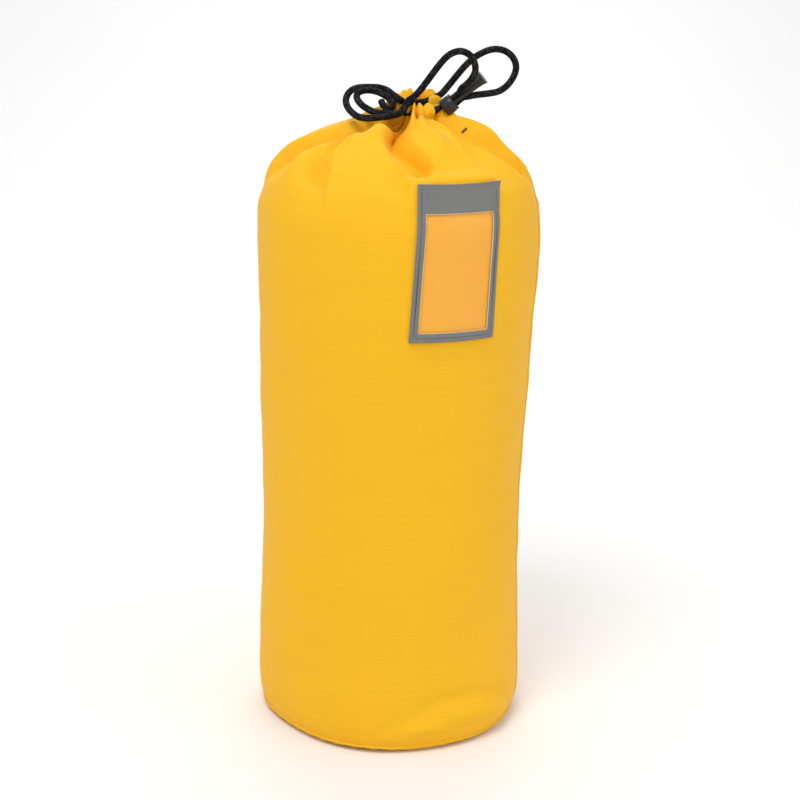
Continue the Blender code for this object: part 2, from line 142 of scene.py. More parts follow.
def gridMesh(columns, rows, places, uvs, closed=False, caps=False):
    # places and uvs are arrays of rows + 1 by columns + 1; a closed one repeats its first column at the end
    bm = bmesh.new()
    bmesh.ops.create_grid(bm, x_segments=columns, y_segments=rows, size=0.5)
    spots = {vertex: (round((vertex.co.y + 0.5) * rows), round((vertex.co.x + 0.5) * columns)) for vertex in bm.verts}
    setUvs(bm, lambda vertex: uvs[spots[vertex]])
    for vertex, spot in spots.items():
        vertex.co = places[spot]
    if closed:
        edge = [vertex for vertex, spot in spots.items() if spot[1] in (0, columns)]
        bmesh.ops.remove_doubles(bm, verts=edge, dist=1e-6)
    if caps:
        rims = [edge for edge in bm.edges if edge.is_boundary]
        bmesh.ops.holes_fill(bm, edges=rims, sides=0)
        bmesh.ops.poke(bm, faces=[face for face in bm.faces if len(face.verts) > 4])
    return bm


def newPiece(name, bm, material, body="bag", replaces=(), outward=False):
    if outward:
        bmesh.ops.recalc_face_normals(bm, faces=bm.faces)
    mesh = bpy.data.meshes.new(name)
    bm.to_mesh(mesh)
    bm.free()
    mesh.shade_smooth()
    mesh.materials.append(material)
    item = addItem(name, mesh)
    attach(item, body)
    if replaces:
        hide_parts(*replaces)
    return item


def faceTowards(piece, number, way):
    # turns a sheet over where its numbered face looks away from the way out
    if piece.data.polygons[number].normal.dot(Vector(way)) < 0:
        piece.data.flip_normals()


def roundEdges(piece, width, segments, degrees=None):
    rounding = piece.modifiers.new("rounding", "BEVEL")
    rounding.width, rounding.segments = width, segments
    if degrees:
        rounding.limit_method, rounding.angle_limit = "ANGLE", math.radians(degrees)


def tube(line, radii, around, relief=None, caps=True):
    side, other = frames(line)
    lengths = lengthsAlong(line)
    turn = np.linspace(0.0, 1.0, around + 1)
    angle = turn * 2 * math.pi
    radius = np.repeat(np.array(radii)[:, None], around + 1, axis=1)
    if relief is not None:
        radius = radius + relief(turn[None, :], lengths[:, None])
    places = (
        line[:, None, :]
        + side[:, None, :] * (np.cos(angle)[None, :] * radius)[:, :, None]
        + other[:, None, :] * (np.sin(angle)[None, :] * radius)[:, :, None]
    )
    places[:, -1] = places[:, 0]
    uvs = np.stack(np.broadcast_arrays(turn[None, :], lengths[:, None]), axis=2)
    return gridMesh(around, len(line) - 1, places, uvs, closed=True, caps=caps)


def colour(red, green, blue):
    linear = [value / 12.92 if value <= 0.04045 else ((value + 0.055) / 1.055) ** 2.4
              for value in (red / 255, green / 255, blue / 255)]
    return (*linear, 1.0)


def feed(tree, socket, value):
    if isinstance(value, bpy.types.NodeSocket):
        tree.links.new(value, socket)
    else:
        socket.default_value = value


def calc(tree, operation, first, second=None, third=None):
    node = tree.nodes.new("ShaderNodeMath")
    node.operation = operation
    for socket, value in zip(node.inputs, (first, second, third)):
        if value is not None:
            feed(tree, socket, value)
    return node.outputs[0]


def times(tree, first, second):
    return calc(tree, "MULTIPLY", first, second)


def plus(tree, first, second):
    return calc(tree, "ADD", first, second)


def scaled(tree, value, factor, offset):
    return calc(tree, "MULTIPLY_ADD", value, factor, offset)


def mixColour(tree, factor, first, second):
    node = tree.nodes.new("ShaderNodeMix")
    node.data_type = "RGBA"
    feed(tree, node.inputs["Factor"], factor)
    feed(tree, node.inputs[6], first)
    feed(tree, node.inputs[7], second)
    return node.outputs[2]


def ramp(tree, value, low, high):
    node = tree.nodes.new("ShaderNodeMapRange")
    feed(tree, node.inputs["Value"], value)
    node.inputs["From Min"].default_value = low
    node.inputs["From Max"].default_value = high
    return node.outputs["Result"]


def noiseTexture(tree, vector, scale, detail=2.0, roughness=0.5):
    node = tree.nodes.new("ShaderNodeTexNoise")
    feed(tree, node.inputs["Vector"], vector)
    for socket, value in (("Scale", scale), ("Detail", detail), ("Roughness", roughness)):
        node.inputs[socket].default_value = value
    return node.outputs["Fac"]


def parts(tree, vector):
    node = tree.nodes.new("ShaderNodeSeparateXYZ")
    feed(tree, node.inputs[0], vector)
    return node.outputs


def whiteNoise(tree, value):
    node = tree.nodes.new("ShaderNodeTexWhiteNoise")
    node.noise_dimensions = "1D"
    feed(tree, node.inputs["W"], value)
    return node.outputs["Value"]


def newGroup(name, outputs):
    group = bpy.data.node_groups.new(name, "ShaderNodeTree")
    group.interface.new_socket("Vector", in_out="INPUT", socket_type="NodeSocketVector")
    for output in outputs:
        group.interface.new_socket(output, in_out="OUTPUT", socket_type="NodeSocketFloat")
    return group, group.nodes.new("NodeGroupInput").outputs[0], group.nodes.new("NodeGroupOutput").inputs


def makeWeaveGroup(pitch=0.00095):
    group, vector, out = newGroup("weave", ["Height", "Thread"])
    across, along = (calc(group, "DIVIDE", value, pitch) for value in list(parts(group, vector))[:2])
    warp = calc(group, "SINE", times(group, across, math.pi))
    weft = calc(group, "SINE", times(group, along, math.pi))
    over = calc(group, "GREATER_THAN", times(group, warp, weft), 0.0)
    warp, weft = calc(group, "ABSOLUTE", warp), calc(group, "ABSOLUTE", weft)
    top = times(group, over, calc(group, "SQRT", warp))
    under = times(group, calc(group, "SUBTRACT", 1.0, over), calc(group, "SQRT", weft))
    feed(group, out["Height"], plus(group, top, under))
    weftTone = whiteNoise(group, calc(group, "FLOOR", along))
    warpTone = whiteNoise(group, plus(group, calc(group, "FLOOR", across), 900.5))
    feed(group, out["Thread"], scaled(group, warpTone, 0.35, times(group, weftTone, 0.65)))
    return group


def makeWearGroup():
    group, vector, out = newGroup("wear", ["Fade", "Dust", "Speck"])
    feed(group, out["Fade"], ramp(group, noiseTexture(group, vector, 9.0, 3.0), 0.3, 0.7))
    feed(group, out["Dust"], ramp(group, noiseTexture(group, vector, 55.0, 5.0, 0.6), 0.45, 0.8))
    feed(group, out["Speck"], ramp(group, noiseTexture(group, vector, 900.0, 2.0), 0.62, 0.8))
    return group


def makeBraidGroup(strands=8, length=0.0026):
    group, vector, out = newGroup("braid", ["Ply", "GlintCells"])
    turn, along = list(parts(group, vector))[:2]
    turns = times(group, turn, strands)
    steps = calc(group, "DIVIDE", along, length)
    first = plus(group, turns, steps)
    second = calc(group, "SUBTRACT", turns, steps)
    odd = calc(group, "PINGPONG", plus(group, calc(group, "FLOOR", first), calc(group, "FLOOR", second)), 1.0)
    firstPly = calc(group, "ABSOLUTE", calc(group, "SINE", times(group, first, 3 * math.pi)))
    secondPly = calc(group, "ABSOLUTE", calc(group, "SINE", times(group, second, 3 * math.pi)))
    ply = plus(group, times(group, firstPly, calc(group, "SUBTRACT", 1.0, odd)),
               times(group, secondPly, odd))
    feed(group, out["Ply"], ply)
    # strands chosen at random to carry the painted glint
    cell = scaled(group, calc(group, "FLOOR", first), 37.0, calc(group, "FLOOR", second))
    feed(group, out["GlintCells"], ramp(group, whiteNoise(group, cell), 0.4, 1.0))
    return group


def makeGrainGroup():
    group, vector, out = newGroup("grain", ["Height", "Tone"])
    fine = noiseTexture(group, vector, 1600.0, 2.0)
    cells = group.nodes.new("ShaderNodeTexVoronoi")
    feed(group, cells.inputs["Vector"], vector)
    cells.inputs["Scale"].default_value = 1100.0
    feed(group, out["Height"], scaled(group, cells.outputs["Distance"], 0.6, fine))
    feed(group, out["Tone"], noiseTexture(group, vector, 120.0, 4.0))
    return group


weaveGroup, wearGroup, braidGroup, grainGroup = makeWeaveGroup(), makeWearGroup(), makeBraidGroup(), makeGrainGroup()


def newMaterial(name, **constants):
    material = bpy.data.materials.new(name)
    material.use_nodes = True
    tree = material.node_tree
    shader = tree.nodes["Principled BSDF"]
    for socket, value in constants.items():
        shader.inputs[socket.replace("_", " ")].default_value = value
    return material, tree, shader


def useGroup(tree, group, vector):
    node = tree.nodes.new("ShaderNodeGroup")
    node.node_tree = group
    feed(tree, node.inputs[0], vector)
    return node.outputs


def place(tree, kind="Object"):
    return tree.nodes.new("ShaderNodeTexCoord").outputs[kind]


def bump(tree, shader, height, distance, strength=1.0):
    node = tree.nodes.new("ShaderNodeBump")
    node.inputs["Strength"].default_value = strength
    node.inputs["Distance"].default_value = distance
    feed(tree, node.inputs["Height"], height)
    feed(tree, shader.inputs["Normal"], node.outputs[0])


def finishLook(shader, base, rough, height=None, distance=0.0, strength=1.0):
    tree = shader.id_data
    feed(tree, shader.inputs["Base Color"], base)
    feed(tree, shader.inputs["Roughness"], rough)
    if height is not None:
        bump(tree, shader, height, distance, strength)


nylon = {
    "bright": (249, 190, 22),
    "faded": (249, 196, 34),
    "thread": (236, 168, 12),
    # painted shade: the deeper orange laid into the gaps between the weave's threads
    "gap": (214, 132, 8),
    "roughness": 0.66,
}
# the second cord colour is a painted highlight on the crowns of the braid's strands
cordLook = {"dark": (5, 5, 6), "strandGlint": (88, 88, 94), "roughness": 0.72}
plasticLook = {"barrel": (24, 24, 27), "wedge": (22, 21, 22), "scuff": (70, 70, 74)}
vinylLook = {"grey": (112, 112, 111), "light": (116, 116, 115), "speck": (170, 170, 168)}
windowLook = {"behind": (246, 174, 34), "haze": (250, 196, 92)}


def makeNylon(name, weaveDepth=0.00012):
    material, tree, shader = newMaterial(name, Sheen_Weight=0.05, Sheen_Roughness=0.4, Specular_IOR_Level=0.25)
    weave = useGroup(tree, weaveGroup, place(tree, "UV"))
    wear = useGroup(tree, wearGroup, place(tree))
    base = mixColour(tree, times(tree, wear["Fade"], 0.45), colour(*nylon["bright"]), colour(*nylon["faded"]))
    base = mixColour(tree, times(tree, weave["Thread"], 0.26), base, colour(*nylon["thread"]))
    # painted shade: the colour darkens towards the gap colour where the weave is low, between threads
    gap = calc(tree, "SUBTRACT", 1.0, weave["Height"])
    base = mixColour(tree, times(tree, gap, 0.42), base, colour(*nylon["gap"]))
    finishLook(shader, base, scaled(tree, wear["Dust"], 0.1, nylon["roughness"]), weave["Height"], weaveDepth, 0.6)
    return material


def makeCordLook(name):
    material, tree, shader = newMaterial(name, Sheen_Weight=0.0, Specular_IOR_Level=0.16)
    braid = useGroup(tree, braidGroup, place(tree, "UV"))
    wear = useGroup(tree, wearGroup, place(tree))
    # painted highlight: random strands get a light grey glint, strongest on the crowns of the plies
    glintMask = times(tree, braid["GlintCells"], scaled(tree, braid["Ply"], 0.42, 0.03))
    base = mixColour(tree, glintMask, colour(*cordLook["dark"]), colour(*cordLook["strandGlint"]))
    finishLook(shader, base, scaled(tree, wear["Dust"], 0.15, cordLook["roughness"]), braid["Ply"], 0.0001, 0.7)
    return material


def makePlastic(name, tint, roughness):
    material, tree, shader = newMaterial(name, Specular_IOR_Level=0.5, Coat_Roughness=0.3)
    grain = useGroup(tree, grainGroup, place(tree))
    wear = useGroup(tree, wearGroup, place(tree))
    base = mixColour(tree, times(tree, wear["Dust"], 0.2), colour(*tint), colour(*plasticLook["scuff"]))
    finishLook(shader, base, scaled(tree, grain["Tone"], 0.2, roughness - 0.1), grain["Height"], 0.00003, 0.5)
    return material


def makeVinyl(name, tint, light, roughness=0.42):
    material, tree, shader = newMaterial(name, Specular_IOR_Level=0.45)
    grain = useGroup(tree, grainGroup, place(tree))
    wear = useGroup(tree, wearGroup, place(tree))
    base = mixColour(tree, ramp(tree, grain["Tone"], 0.3, 0.7), colour(*tint), colour(*light))
    base = mixColour(tree, times(tree, wear["Speck"], 0.15), base, colour(*vinylLook["speck"]))
    finishLook(shader, base, scaled(tree, wear["Dust"], 0.15, roughness), grain["Height"], 0.00004, 0.6)
    return material


def makeWindow(name):
    material, tree, shader = newMaterial(name, Roughness=0.16, Coat_Weight=0.6, Coat_Roughness=0.08)
    wear = useGroup(tree, wearGroup, place(tree))
    finishLook(shader, colour(*windowLook["haze"]), scaled(tree, wear["Dust"], 0.12, 0.14))
    feed(tree, shader.inputs["Alpha"], scaled(tree, wear["Fade"], 0.05, 0.2))
    return material


threadPitch = 0.0007


# the thread is painted lighter on the crowns of its twist and darker in the grooves: painted highlight and shade
def makeThread(name, tint, light):
    material, tree, shader = newMaterial(name, Sheen_Weight=0.2)
    wave = parts(tree, place(tree))
    twist = plus(tree, scaled(tree, wave[0], 0.7, wave[1]), times(tree, wave[2], 1.3))
    ply = calc(tree, "ABSOLUTE", calc(tree, "SINE", times(tree, twist, math.pi / threadPitch)))
    finishLook(shader, mixColour(tree, ply, colour(*tint), colour(*light)), scaled(tree, ply, -0.1, 0.65), ply, 0.00008)
    return material


def makeFoam(name):
    material, tree, shader = newMaterial(name)
    grain = useGroup(tree, grainGroup, place(tree))
    wear = useGroup(tree, wearGroup, place(tree))
    base = mixColour(tree, grain["Tone"], colour(222, 224, 226), colour(200, 203, 206))
    finishLook(shader, base, scaled(tree, wear["Dust"], 0.1, 0.8), grain["Height"], 0.0002)
    return material


yellowNylon = makeNylon("yellowNylon")
yellowBinding = makeNylon("yellowBinding", 0.0001)
blackCord = makeCordLook("blackCord")
barrelPlastic = makePlastic("barrelPlastic", plasticLook["barrel"], 0.36)
wedgePlastic = makePlastic("wedgePlastic", plasticLook["wedge"], 0.46)
# painted highlight: the wedge's end rim is light grey for the highlight along its edge
rimHighlightPlastic = makePlastic("rimHighlightPlastic", (128, 128, 130), 0.5)
greyVinyl = makeVinyl("greyVinyl", vinylLook["grey"], vinylLook["light"])
# painted highlight: the rim round the window is coloured light tan for the highlight along its bevel
edgeHighlightVinyl = makeVinyl("edgeHighlightVinyl", (214, 178, 120), (222, 190, 138), 0.35)
backVinyl = makeVinyl("backVinyl", windowLook["behind"], (248, 178, 44), 0.5)
clearWindow = makeWindow("clearWindow")
# each thread's second colour is its painted highlight on the crowns of the twist
darkThread = makeThread("darkThread", (34, 34, 36), (58, 58, 60))
yellowThread = makeThread("yellowThread", (236, 168, 26), (250, 192, 52))
brownThread = makeThread("brownThread", (78, 48, 18), (120, 78, 26))
foamLook = makeFoam("foam")
lineLook = makeThread("floatingLine", (226, 120, 30), (244, 150, 52))
print("materials made")


neckShift = Vector((0.011, -0.002, 0.0))
hemMiddle = neckShift + Vector((0, 0, 0.4496))
cordLevel = neckShift + Vector((0, 0, 0.4553))
drawcord = {
    "diameter": 0.0048,
    "squeezed": 0.0035,  # where the lock grips it
    "ringRadius": 0.0132,
    "ringGap": 0.5454,  # half the gap in the ring where the tails leave, in radians
    "strands": 8,  # each way round the braid
    "strandLength": 0.0026,
    "strandHeight": 0.00024,
    "lead": 0.0025,  # a tail goes on along the hem before it turns to the lock
    "melted": 0.0008,  # length of the rounded end
    "around": 40,
    "step": 0.00042,
}
lock = {
    "low": cordLevel + Vector((0.0197, -0.0065, -0.0031)),  # the barrel's lower end
    "axis": Vector((0.762, -0.03, 0.647)).normalized(),
    "tilt": 32.0,
    "spacing": 0.00325,  # from the axis to each cord
    "straight": 0.015,
}
slotAngle = math.atan2(-0.0065, 0.0197)
# Each tail's way from the lock on, from where a cord would lie on the hem over the middle of the neck
tailA = (
    (0.0317, -0.0104, 0.0121), (0.0352, -0.0118, 0.0152), (0.0388, -0.0140, 0.0199),
    (0.0406, -0.0160, 0.0255), (0.0394, -0.0180, 0.0314), (0.0361, -0.0190, 0.0360),
    (0.0304, -0.0190, 0.0383), (0.0246, -0.0180, 0.0370), (0.0199, -0.0165, 0.0336),
    (0.0155, -0.0150, 0.0283), (0.0112, -0.0140, 0.0224), (0.0068, -0.0135, 0.0161),
    (0.0021, -0.0140, 0.0099), (-0.0025, -0.0152, 0.0052), (-0.0060, -0.0166, 0.0028),
)
loopA = (
    (-0.0105, -0.0215, -0.0042), (-0.0168, -0.0265, -0.0063), (-0.0237, -0.0295, -0.0071),
    (-0.0302, -0.0310, -0.0077), (-0.0358, -0.0290, -0.0081), (-0.0410, -0.0250, -0.0074),
    (-0.0459, -0.0180, -0.0046), (-0.0488, -0.0120, -0.0011), (-0.0494, -0.0070, 0.0026),
    (-0.0479, -0.0030, 0.0060), (-0.0447, 0.0, 0.0086), (-0.0396, 0.0020, 0.0099),
    (-0.0330, 0.0020, 0.0102), (-0.0268, 0.0005, 0.0102), (-0.0210, -0.0020, 0.0088),
    (-0.0162, -0.0060, 0.0060), (-0.0125, -0.0094, 0.0038), (-0.0092, -0.0118, 0.0018),
)
tailB = (
    (0.0385, -0.0026, 0.0061), (0.0448, 0.0014, 0.0068), (0.0514, 0.0052, 0.0073),
    (0.0581, 0.0090, 0.0084), (0.0639, 0.0120, 0.0118), (0.0684, 0.0145, 0.0173),
    (0.0707, 0.0160, 0.0236), (0.0697, 0.0165, 0.0295), (0.0657, 0.0160, 0.0345),
    (0.0602, 0.0150, 0.0372), (0.0538, 0.0140, 0.0376), (0.0474, 0.0130, 0.0356),
    (0.0411, 0.0125, 0.0319), (0.0349, 0.0120, 0.0263), (0.0288, 0.0115, 0.0191),
    (0.0228, 0.0110, 0.0114), (0.0177, 0.0095, 0.0057), (0.0120, 0.0065, 0.0025),
    (0.0066, 0.0014, 0.0011), (0.0008, -0.0048, 0.0008), (-0.0050, -0.0105, 0.0010),
)
loopB = (
    (-0.0117, -0.0163, -0.0058), (-0.0168, -0.0204, -0.0057), (-0.0231, -0.0235, -0.0051),
    (-0.0285, -0.0240, -0.0045), (-0.0341, -0.0220, -0.0024), (-0.0385, -0.0180, 0.0002),
    (-0.0413, -0.0135, 0.0032), (-0.0417, -0.0095, 0.0059), (-0.0393, -0.0065, 0.0079),
    (-0.0348, -0.0050, 0.0087), (-0.0295, -0.0050, 0.0083), (-0.0242, -0.0065, 0.0066),
    (-0.0195, -0.0090, 0.0040), (-0.0164, -0.0125, 0.0010), (-0.0172, -0.0160, -0.0022),
    (-0.0200, -0.0180, -0.0024), (-0.0232, -0.0170, -0.0001), (-0.0249, -0.0150, 0.0035),
)


def lockDirections():
    axis = lock["axis"]
    upward = (Vector((0, 0, 1)) - axis * axis.z).normalized()
    sideways = axis.cross(upward)
    if sideways.y > 0:
        sideways = -sideways
    tilt = math.radians(lock["tilt"])
    towardsA = upward * math.cos(tilt) + sideways * math.sin(tilt)
    return axis, towardsA, axis.cross(towardsA)


lockAxis, towardsA, acrossLock = lockDirections()


def braidRelief(turn, length):
    first = turn * drawcord["strands"] + length / drawcord["strandLength"]
    second = turn * drawcord["strands"] - length / drawcord["strandLength"]
    over = np.mod(np.floor(first) + np.floor(second), 2) < 0.5
    one, other = np.abs(np.sin(np.pi * first)), np.abs(np.sin(np.pi * second))
    height = np.where(over, one ** 0.6 * (0.65 + 0.35 * other), other ** 0.6 * (0.65 + 0.35 * one))
    return (height - 0.75) * drawcord["strandHeight"]


def ringPoint(angle):
    return hemMiddle + Vector((math.cos(angle), math.sin(angle), 0)) * drawcord["ringRadius"]


def cordLine(side, route):
    offset = towardsA * lock["spacing"] * side
    gripped = [lock["low"] + offset + lockAxis * distance for distance in (-0.001, 0.004, 0.010, lock["straight"])]
    angle = slotAngle - drawcord["ringGap"] * side
    inward = Vector((math.sin(angle), -math.cos(angle), 0)) * side
    start = ringPoint(angle) - inward * 0.0009
    turn = start - inward * drawcord["lead"]
    return [start, turn, turn.lerp(gripped[0], 0.5)] + gripped + [cordLevel + Vector(point) for point in route]


def cordRadii(line, side):
    offset = np.array(lock["low"] + towardsA * lock["spacing"] * side)
    along = (line - offset) @ np.array(lockAxis)
    away = np.linalg.norm(line - offset - along[:, None] * np.array(lockAxis), axis=1)
    grip = np.clip((along + 0.004) / 0.003, 0, 1) * np.clip((lock["straight"] + 0.004 - along) / 0.004, 0, 1)
    grip = eased(np.where(away < drawcord["diameter"] / 2 + 0.0001, grip, 0.0))
    return drawcord["diameter"] / 2 + grip * (drawcord["squeezed"] - drawcord["diameter"]) / 2


def makeCord(name, side, route, node):
    line, lengths = evenly(smoothCurve(cordLine(side, route), 12), drawcord["step"])
    radii = cordRadii(line, side)
    radii = radii * np.sqrt(np.clip((lengths[-1] - lengths) / drawcord["melted"], 0.25, 1.0))
    piece = newPiece(name, tube(line, radii, drawcord["around"], braidRelief), blackCord, replaces=node, outward=True)
    path = [tuple(point) for point in line[::4]] + [tuple(line[-1])]
    return piece, path, lengths[-1]


def makeRing():
    angles = np.linspace(slotAngle + drawcord["ringGap"], slotAngle + 2 * math.pi - drawcord["ringGap"], 150)
    line = np.array([tuple(ringPoint(angle)) for angle in angles])
    bm = tube(line, np.full(len(line), drawcord["diameter"] / 2), 24, braidRelief)
    newPiece("ringInHem", bm, blackCord, replaces=("drawcord_in_hem",), outward=True)


cordA, pathA, lengthA = makeCord("drawcordA", 1, tailA + loopA, ("drawcord_tail_a",))
cordB, pathB, lengthB = makeCord("drawcordB", -1, tailB + loopB, ("drawcord_tail_b", "drawcord_coil"))
makeRing()
print("cords made", round(lengthA, 4), round(lengthB, 4))


bag = {
    "fullRadius": 0.101,
    "columns": 184,
    "crowding": 0.35,  # columns stand closer together at the front
    "topRows": 0.115,  # how far below the neck the rows stand closer
    "topStep": 0.0034,
    "lowStep": 0.006,
    "pleats": 16,
    "pleatDepth": 0.0066,
    "pleatFade": 0.038,  # how far down from the neck the pleats run out
    "backRise": 0.0085,  # the hem stands higher at the back
    "sag": 0.0020,  # soft waves in the lower wall
    "fine": 2,  # mesh steps for each control point
    "slack": 1.38,  # how much wider the cloth is cut than the gathered shoulder
}
simulation = {
    "frames": 28,
    "pressure": 2.2,
    "mostMove": 0.004,  # of any point
    "quality": 6,
    "mass": 0.3,
    "stretch": 18,
    "shear": 8,
    "bend": 0.35,
    "pin": 4.0,
}
# Radius and height of the tube, from the neck down
wallProfile = (
    (0.0165, 0.4458), (0.0280, 0.4446), (0.0440, 0.4405), (0.0610, 0.4335), (0.0760, 0.4240), (0.0880, 0.4130),
    (0.0945, 0.4040), (0.0980, 0.3930), (0.1010, 0.3600), (0.0960, 0.2000), (0.0972, 0.0360), (0.0976, 0.0190),
    (0.0969, 0.0105), (0.0949, 0.0058),
)
# The hem from inside the mouth, over the ring in it and down to the neck
hemProfile = (
    (0.0050, 0.4360), (0.0058, 0.4405), (0.0066, 0.4450), (0.0078, 0.4495), (0.0100, 0.4532), (0.0130, 0.4551),
    (0.0164, 0.4543), (0.0188, 0.4518), (0.0196, 0.4487), (0.0184, 0.4464),
)
# Folds: places as azimuth and distance from the neck in millimetres, then depth and half width in millimetres.
# A lean above 0 makes the side towards +X the steeper one.
folds = (
    {"way": ((-52, 4), (-57, 21), (-68, 40), (-76, 58), (-83, 75), (-90, 97)), "depth": 15.0, "width": 9.0,
     "lean": -0.55},
    {"way": ((-50, 30), (-43, 52), (-37, 73), (-34, 98)), "depth": 10.5, "width": 6, "lean": 0.8},
    {"way": ((-48, 64), (-43, 74), (-41, 84)), "depth": 5.0, "width": 10, "lean": 0.0},
    {"way": ((-64, 28), (-52, 45), (-47, 60), (-44, 66)), "depth": -5.5, "width": 8, "lean": -0.3},
    {"way": ((-38, 6), (-34, 26), (-26, 50), (-20, 80)), "depth": -3.0, "width": 14, "lean": 0.0},
    {"way": ((-16, 2), (-10, 24), (1, 45), (9, 57), (14, 70), (8, 88)), "depth": 15.0, "width": 6.0, "lean": 0.9},
    {"way": ((-6, 10), (6, 24), (18, 42), (24, 60)), "depth": -4.5, "width": 7, "lean": -0.3},
    {"way": ((36, 4), (40, 22), (43, 45), (46, 72)), "depth": 8.5, "width": 5.5, "lean": -0.6},
    {"way": ((58, 6), (64, 38), (73, 70), (88, 98)), "depth": 9.0, "width": 7, "lean": 0.5},
    {"way": ((84, 8), (94, 40), (104, 80)), "depth": 11.0, "width": 12, "lean": -0.2},
    {"way": ((118, 4), (126, 34), (124, 70), (128, 92)), "depth": 9.0, "width": 9, "lean": 0.5},
    {"way": ((150, 6), (146, 40), (152, 74)), "depth": 6.5, "width": 8, "lean": -0.4},
    {"way": ((176, 4), (184, 36), (178, 72), (182, 98)), "depth": 10.0, "width": 9, "lean": 0.4},
    {"way": ((-150, 6), (-146, 38), (-154, 80)), "depth": 7.0, "width": 8, "lean": -0.4},
    {"way": ((-120, 4), (-116, 30), (-122, 62), (-116, 90)), "depth": 8.5, "width": 9, "lean": 0.4},
    {"way": ((-92, 20), (-96, 40), (-100, 60)), "depth": -2.0, "width": 12, "lean": 0.0},
)
# Creases in the lower wall: middle, reach round the bag in degrees, how far they bow and slope
creases = (
    {"azimuth": 36, "height": 0.036, "reach": 26, "bow": 0.010, "slope": -0.006, "width": 0.0042, "depth": 0.0046},
    {"azimuth": 14, "height": 0.024, "reach": 16, "bow": 0.004, "slope": 0.010, "width": 0.0036, "depth": 0.0020},
    {"azimuth": -30, "height": 0.052, "reach": 30, "bow": 0.012, "slope": 0.012, "width": 0.0070, "depth": 0.0008},
    {"azimuth": 150, "height": 0.040, "reach": 28, "bow": 0.010, "slope": 0.006, "width": 0.0045, "depth": 0.0018},
    {"azimuth": -120, "height": 0.034, "reach": 24, "bow": 0.009, "slope": -0.008, "width": 0.0042, "depth": 0.0016},
    {"azimuth": -20, "height": 0.150, "reach": 24, "bow": 0.016, "slope": 0.020, "width": 0.0120, "depth": 0.0007},
    {"azimuth": 60, "height": 0.240, "reach": 20, "bow": -0.012, "slope": 0.030, "width": 0.0090, "depth": 0.0009},
)
label = {"azimuth": 24.4, "width": 0.0625, "top": 0.4080, "height": 0.1055}


def bagRows():
    # for each row: radius, height, distance below the neck (minus in the hem)
    hem, hemLengths = evenly(smoothCurve([(r, 0, z) for r, z in hemProfile], 8), 0.0026)
    wall = np.array([tuple(point) for point in smoothCurve([(r, 0, z) for r, z in wallProfile], 16)])
    wallLengths = lengthsAlong(wall)
    near = np.arange(0.0, bag["topRows"], bag["topStep"])
    far = np.linspace(near[-1], wallLengths[-1], round((wallLengths[-1] - near[-1]) / bag["lowStep"]) + 1)[1:]
    wanted = np.concatenate((near, far))
    wallRows = np.stack([np.interp(wanted, wallLengths, wall[:, axis]) for axis in (0, 2)], axis=1)
    radii = np.concatenate((hem[:, 0], wallRows[:, 0]))
    heights = np.concatenate((hem[:, 2], wallRows[:, 1]))
    distances = np.concatenate((hemLengths - hemLengths[-1] - bag["topStep"] * 0.8, wanted))
    return radii, heights, distances


rowRadius, rowHeight, rowDistance = bagRows()


def azimuthOf(columnPlaces):
    turn = np.asarray(columnPlaces) / bag["columns"] * 2 * math.pi - math.pi
    return np.degrees(turn - bag["crowding"] * np.sin(turn))


azimuths = np.radians(azimuthOf(np.arange(bag["columns"])))


def noiseGrid(points, scale, seed):
    start = Vector((seed, seed * 2.7, 0))
    values = [noise.noise(Vector(point) * scale + start) for point in points.reshape(-1, 3)]
    return np.array(values).reshape(points.shape[:-1])


def labelMask(azimuth, height, margin):
    # 1 under the label, falling to 0 over the margin round it
    across = np.abs(azimuth - math.radians(label["azimuth"])) * bag["fullRadius"] - label["width"] / 2
    middle = label["top"] - label["height"] / 2
    along = np.abs(height - middle) - label["height"] / 2
    outside = np.hypot(np.maximum(across, 0), np.maximum(along, 0))
    return 1 - step01(outside, 0.001, margin)


def foldDepth(azimuth, distance):
    total = np.zeros(np.broadcast(azimuth, distance).shape)
    spread = np.maximum(rowRadius, 0.02)[:, None]
    for fold in folds:
        angles = np.radians([place[0] for place in fold["way"]])
        down = np.array([place[1] for place in fold["way"]]) / 1000
        middle = np.interp(distance, down, angles)
        turn = (azimuth - middle + math.pi) % (2 * math.pi) - math.pi
        span = down[-1] - down[0]
        strength = step01(distance, down[0] - 0.3 * span - 0.004, down[0] + 0.25 * span)
        strength = strength * (1 - step01(distance, down[-1] - 0.35 * span, down[-1] + 0.15 * span + 0.004))
        width = fold["width"] / 1000 * (0.65 + 0.5 * (distance - down[0]) / span)
        offset = turn * spread / width
        lean = fold["lean"]
        stretched = np.abs(np.where(offset > 0, offset * (1 + lean), offset * (1 - lean * 0.6)))
        shape = np.exp(-stretched ** 1.25) - 0.28 * np.exp(-((stretched - 1.9) / 0.8) ** 2)
        total += fold["depth"] / 1000 * strength * shape
    return total


def hump(value, middle, reach):
    return np.exp(-((value - middle) / reach) ** 2)


def frontBulge(azimuth):
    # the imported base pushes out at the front
    turn = (azimuth + 0.06 + math.pi) % (2 * math.pi) - math.pi
    return 0.0058 * hump(turn, 0, 0.6) + 0.003 * hump(turn, 0.8, 0.35) - 0.002 * hump(turn, -0.85, 0.35)


